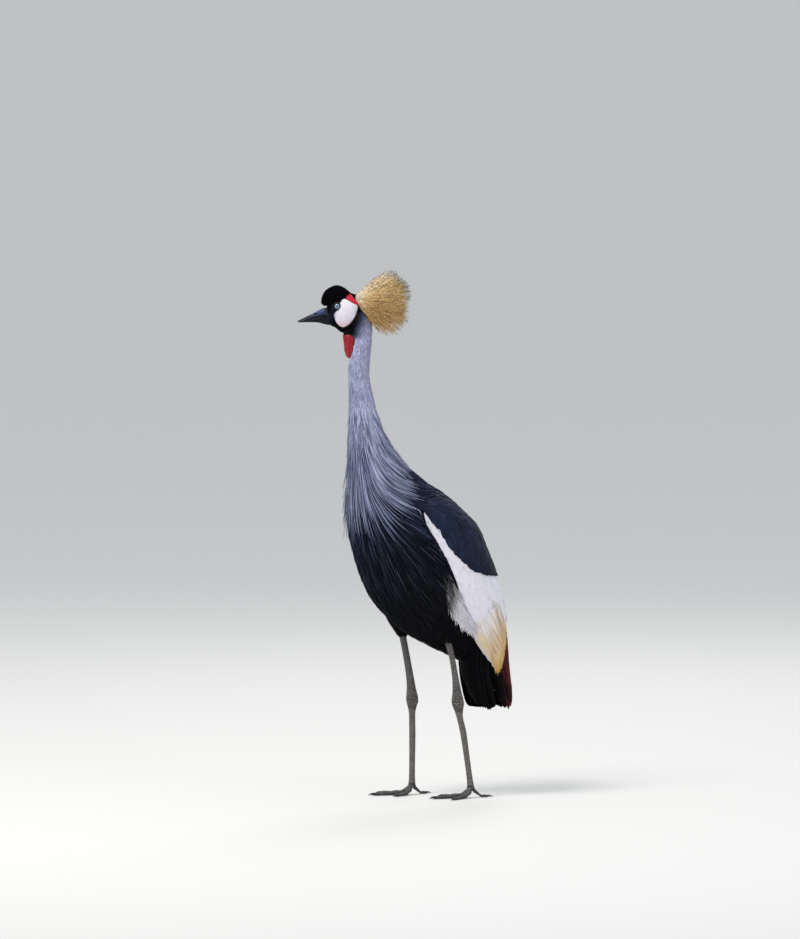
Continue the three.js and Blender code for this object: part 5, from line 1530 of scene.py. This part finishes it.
for side, sx in (("left", 1), ("right", -1)):
    ec = head_point(EYE_AT[0], EYE_AT[1], sx * EYE_AT[2])
    ax = ASIDE * sx
    b1 = unit(np.cross(ax, UP))
    b2 = np.cross(b1, ax)
    rings, sd = 60, 64
    al = np.linspace(0.004, math.pi - 0.004, rings)
    ph = np.arange(sd) / sd * 2 * math.pi
    AL, PH = np.meshgrid(al, ph, indexing="ij")
    R = EYE_RADIUS + 0 * AL
    co = ec + ax * (R * np.cos(AL))[..., None] + (b1 * np.cos(PH)[..., None] + b2 * np.sin(PH)[..., None]) * (R * np.sin(AL))[..., None]
    rr_ = EYE_RADIUS * np.sin(AL)
    rays = 0.5 + 0.5 * np.sin(PH * 23 + 1.3 * np.sin(PH * 5))
    col = mix(srgb(96, 138, 170) + np.zeros(AL.shape + (1,)), srgb(158, 190, 212) + np.zeros(AL.shape + (1,)), rays * 0.6 + 0.2)
    col = mix(col, srgb(40, 62, 86) + 0 * col, smooth(rr_, 3.5, 4.5) * 0.85)
    col = mix(col, srgb(20, 22, 28) + 0 * col, smooth(rr_, 4.7, 5.3))
    col = mix(col, srgb(3, 3, 4) + 0 * col, smooth(2.25 - rr_, -0.15, 0.15) * (np.cos(AL) > 0))
    col = np.where((np.cos(AL) < 0.2)[..., None], srgb(20, 22, 28), col)
    kk_, jj = np.meshgrid(np.arange(rings - 1), np.arange(sd), indexing="ij")
    a_ = kk_ * sd + jj
    b_ = kk_ * sd + (jj + 1) % sd
    quads = np.stack([a_, a_ + sd, b_ + sd, b_], -1).reshape(-1, 4)
    co2 = np.concatenate([co.reshape(-1, 3), (ec + ax * EYE_RADIUS)[None], (ec - ax * EYE_RADIUS)[None]])
    col2 = np.concatenate([col.reshape(-1, 3), srgb(3, 3, 4)[None], srgb(20, 22, 28)[None]])
    j_ = np.arange(sd)
    i0 = rings * sd
    tris = np.concatenate([np.stack([0 * j_ + i0, j_, (j_ + 1) % sd], -1), np.stack([0 * j_ + i0 + 1, (rings - 1) * sd + (j_ + 1) % sd, (rings - 1) * sd + j_], -1)])
    if sx < 0:
        pass
    o = make_mesh(f"eye_{side}", co2, quads, tris, m_eye, col2)
    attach(o, "root")
    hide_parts(f"eye_{side}")
    # lid margin
    U_, V_ = np.meshgrid(np.arange(72) / 72 * 2 * math.pi, np.arange(12) / 12 * 2 * math.pi, indexing="ij")
    minor = 0.62 + 0.14 * np.sin(U_) ** 2
    major = 5.35 + 0.12 * np.cos(2 * U_)
    rim_h = math.sqrt(EYE_RADIUS ** 2 - 5.35 ** 2) + 0.15
    rr_ = major + minor * np.cos(V_)
    co = ec + ax * (rim_h + minor * np.sin(V_))[..., None] + b1 * (rr_ * np.cos(U_) * 1.03)[..., None] + b2 * (rr_ * np.sin(U_) * 0.95)[..., None]
    k2, j2 = np.meshgrid(np.arange(72), np.arange(12), indexing="ij")
    a_ = k2 * 12 + j2
    b_ = ((k2 + 1) % 72) * 12 + j2
    quads = np.stack([a_, a_ - j2 + (j2 + 1) % 12, b_ - j2 + (j2 + 1) % 12, b_], -1).reshape(-1, 4)
    lid = make_mesh(f"lid_{side}", co.reshape(-1, 3), quads, np.zeros((0, 3), int), m_lid)
    bm = bmesh.new()
    bm.from_mesh(lid.data)
    bmesh.ops.recalc_face_normals(bm, faces=bm.faces)
    bm.to_mesh(lid.data)
    bm.free()
    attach(lid, "root")

# ---------------------------------------------------------------- claws
m_claw, nt, b = material("claw_horn")
geo = nt.nodes.new("ShaderNodeTexCoord")
n1 = node(nt, "ShaderNodeTexNoise", Scale=300.0, Detail=3.0)
nt.links.new(geo.outputs["Object"], n1.inputs["Vector"])
nt.links.new(mix_colour(nt, n1.outputs[0], tuple(srgb(14, 14, 16)), tuple(srgb(44, 43, 45))), b.inputs["Base Color"])
b.inputs["Roughness"].default_value = 0.4
for side in ("left", "right"):
    for name, angle, length, r in TOES:
        _, way, across, height, end = toe_sec(side, angle, length, r, name == "hind")
        T_, V_ = np.meshgrid(np.linspace(-0.18, 1, 26), np.arange(20) / 20 * 2 * math.pi, indexing="ij")
        tt_ = np.maximum(T_, 0)
        rr_ = np.maximum(0.28, r * 0.5 * (1 - 0.88 * tt_ ** 1.15))
        c_ = end * A([1, 1, 0]) + way * (length + 0.35 + (CLAW_LENGTH - 0.6) * T_)[..., None] + UP * (height(1) + 0.9 * np.sin(T_ * 2.2) - 2.6 * T_ * T_)[..., None]
        co = c_ + UP * (rr_ * 1.12 * np.cos(V_))[..., None] + across * (rr_ * np.sin(V_))[..., None]
        co[..., 2] = np.maximum(co[..., 2], 0.02)
        k2, j2 = np.meshgrid(np.arange(25), np.arange(20), indexing="ij")
        a_ = k2 * 20 + j2
        b_ = k2 * 20 + (j2 + 1) % 20
        quads = np.stack([a_, b_, b_ + 20, a_ + 20], -1).reshape(-1, 4)
        co2 = np.concatenate([co.reshape(-1, 3), co[0].mean(0)[None], co[-1].mean(0)[None]])
        j_ = np.arange(20)
        tris = np.concatenate([np.stack([(j_ + 1) % 20, j_, 0 * j_ + 520], -1), np.stack([25 * 20 + j_, 25 * 20 + (j_ + 1) % 20, 0 * j_ + 521], -1)])
        o = make_mesh(f"claw_{name}_{side}", co2, quads, tris, m_claw)
        bm = bmesh.new()
        bm.from_mesh(o.data)
        bmesh.ops.recalc_face_normals(bm, faces=bm.faces)
        bm.to_mesh(o.data)
        bm.free()
        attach(o, "root")
        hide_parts(f"claw_{name}_{side}")

# ---------------------------------------------------------------- every coat piece belongs to the one body
STANDS_FOR = {"coat_white_coverts": ["wing_coverts_left", "wing_coverts_right"], "wing_flights": ["wing_flights_left", "wing_flights_right"], "tail_feathers": ["tail"], "crest_bristles": ["crest"]}
for o in coat:
    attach(o, "root")
    if o.name in STANDS_FOR:
        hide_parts(*STANDS_FOR[o.name])
bpy.data.meshes.remove(outer_mesh)

# ---------------------------------------------------------------- floor, light, camera
m_floor, nt, b = material("floor")
b.inputs["Base Color"].default_value = (0.78, 0.775, 0.76, 1)
b.inputs["Roughness"].default_value = 0.85
floor_mesh = bpy.data.meshes.new("floor")
floor_mesh.from_pydata([(-200, -200, -0.0005), (200, -200, -0.0005), (200, 200, -0.0005), (-200, 200, -0.0005)], [], [(0, 1, 2, 3)])
floor_mesh.materials.append(m_floor)
floor = new_object("floor", floor_mesh)

world = bpy.data.worlds.new("studio")
bpy.context.scene.world = world
world.use_nodes = True
bg = world.node_tree.nodes["Background"]
bg.inputs[0].default_value = (0.93, 0.96, 1.0, 1)
bg.inputs[1].default_value = 0.7
bpy.context.scene.view_settings.view_transform = "Standard"

CAM_A, CAM_E = math.radians(68), math.radians(4)
right = A([math.cos(CAM_A), math.sin(CAM_A), 0])
back = A([math.sin(CAM_A) * math.cos(CAM_E), -math.cos(CAM_A) * math.cos(CAM_E), math.sin(CAM_E)])
upv = A([-math.sin(CAM_A) * math.sin(CAM_E), math.cos(CAM_A) * math.sin(CAM_E), math.cos(CAM_E)])


def area_light(name, u, w, b_, size, power, colour):
    """An area light placed in the camera's own directions, pointed at the breast."""
    d = bpy.data.lights.new(name, "AREA")
    d.shape = "DISK"
    d.size = size
    d.energy = power
    d.color = colour
    o = bpy.data.objects.new(name, d)
    bpy.context.scene.collection.objects.link(o)
    aim = Vector((0, 0, 0.6))
    o.location = aim + Vector(tuple(right * u + upv * w + back * b_))
    o.rotation_mode = "QUATERNION"
    o.rotation_quaternion = (aim - o.location).to_track_quat("-Z", "Y")
    return o


area_light("key", -1.6, 3.4, 1.6, 1.3, 104, (1.0, 0.97, 0.92))
area_light("fill", 2.6, 1.4, 2.6, 2.4, 14, (0.9, 0.95, 1.0))
area_light("rim", 0.6, 2.6, -2.8, 1.6, 30, (1.0, 0.98, 0.95))

target = right * -0.01995 + upv * 0.6551 + SHIFT * MM
cam_data = bpy.data.cameras.new("camera")
cam_data.sensor_width = 36
cam_data.lens = 383.5
cam_data.clip_start = 0.1
cam_data.clip_end = 1000
cam = bpy.data.objects.new("camera", cam_data)
bpy.context.scene.collection.objects.link(cam)
cam.location = Vector(tuple(target + back * 20.0))
cam.rotation_mode = "QUATERNION"
cam.rotation_quaternion = Matrix((tuple(right), tuple(upv), tuple(back))).transposed().to_quaternion()
bpy.context.scene.camera = cam

bpy.context.view_layer.update()
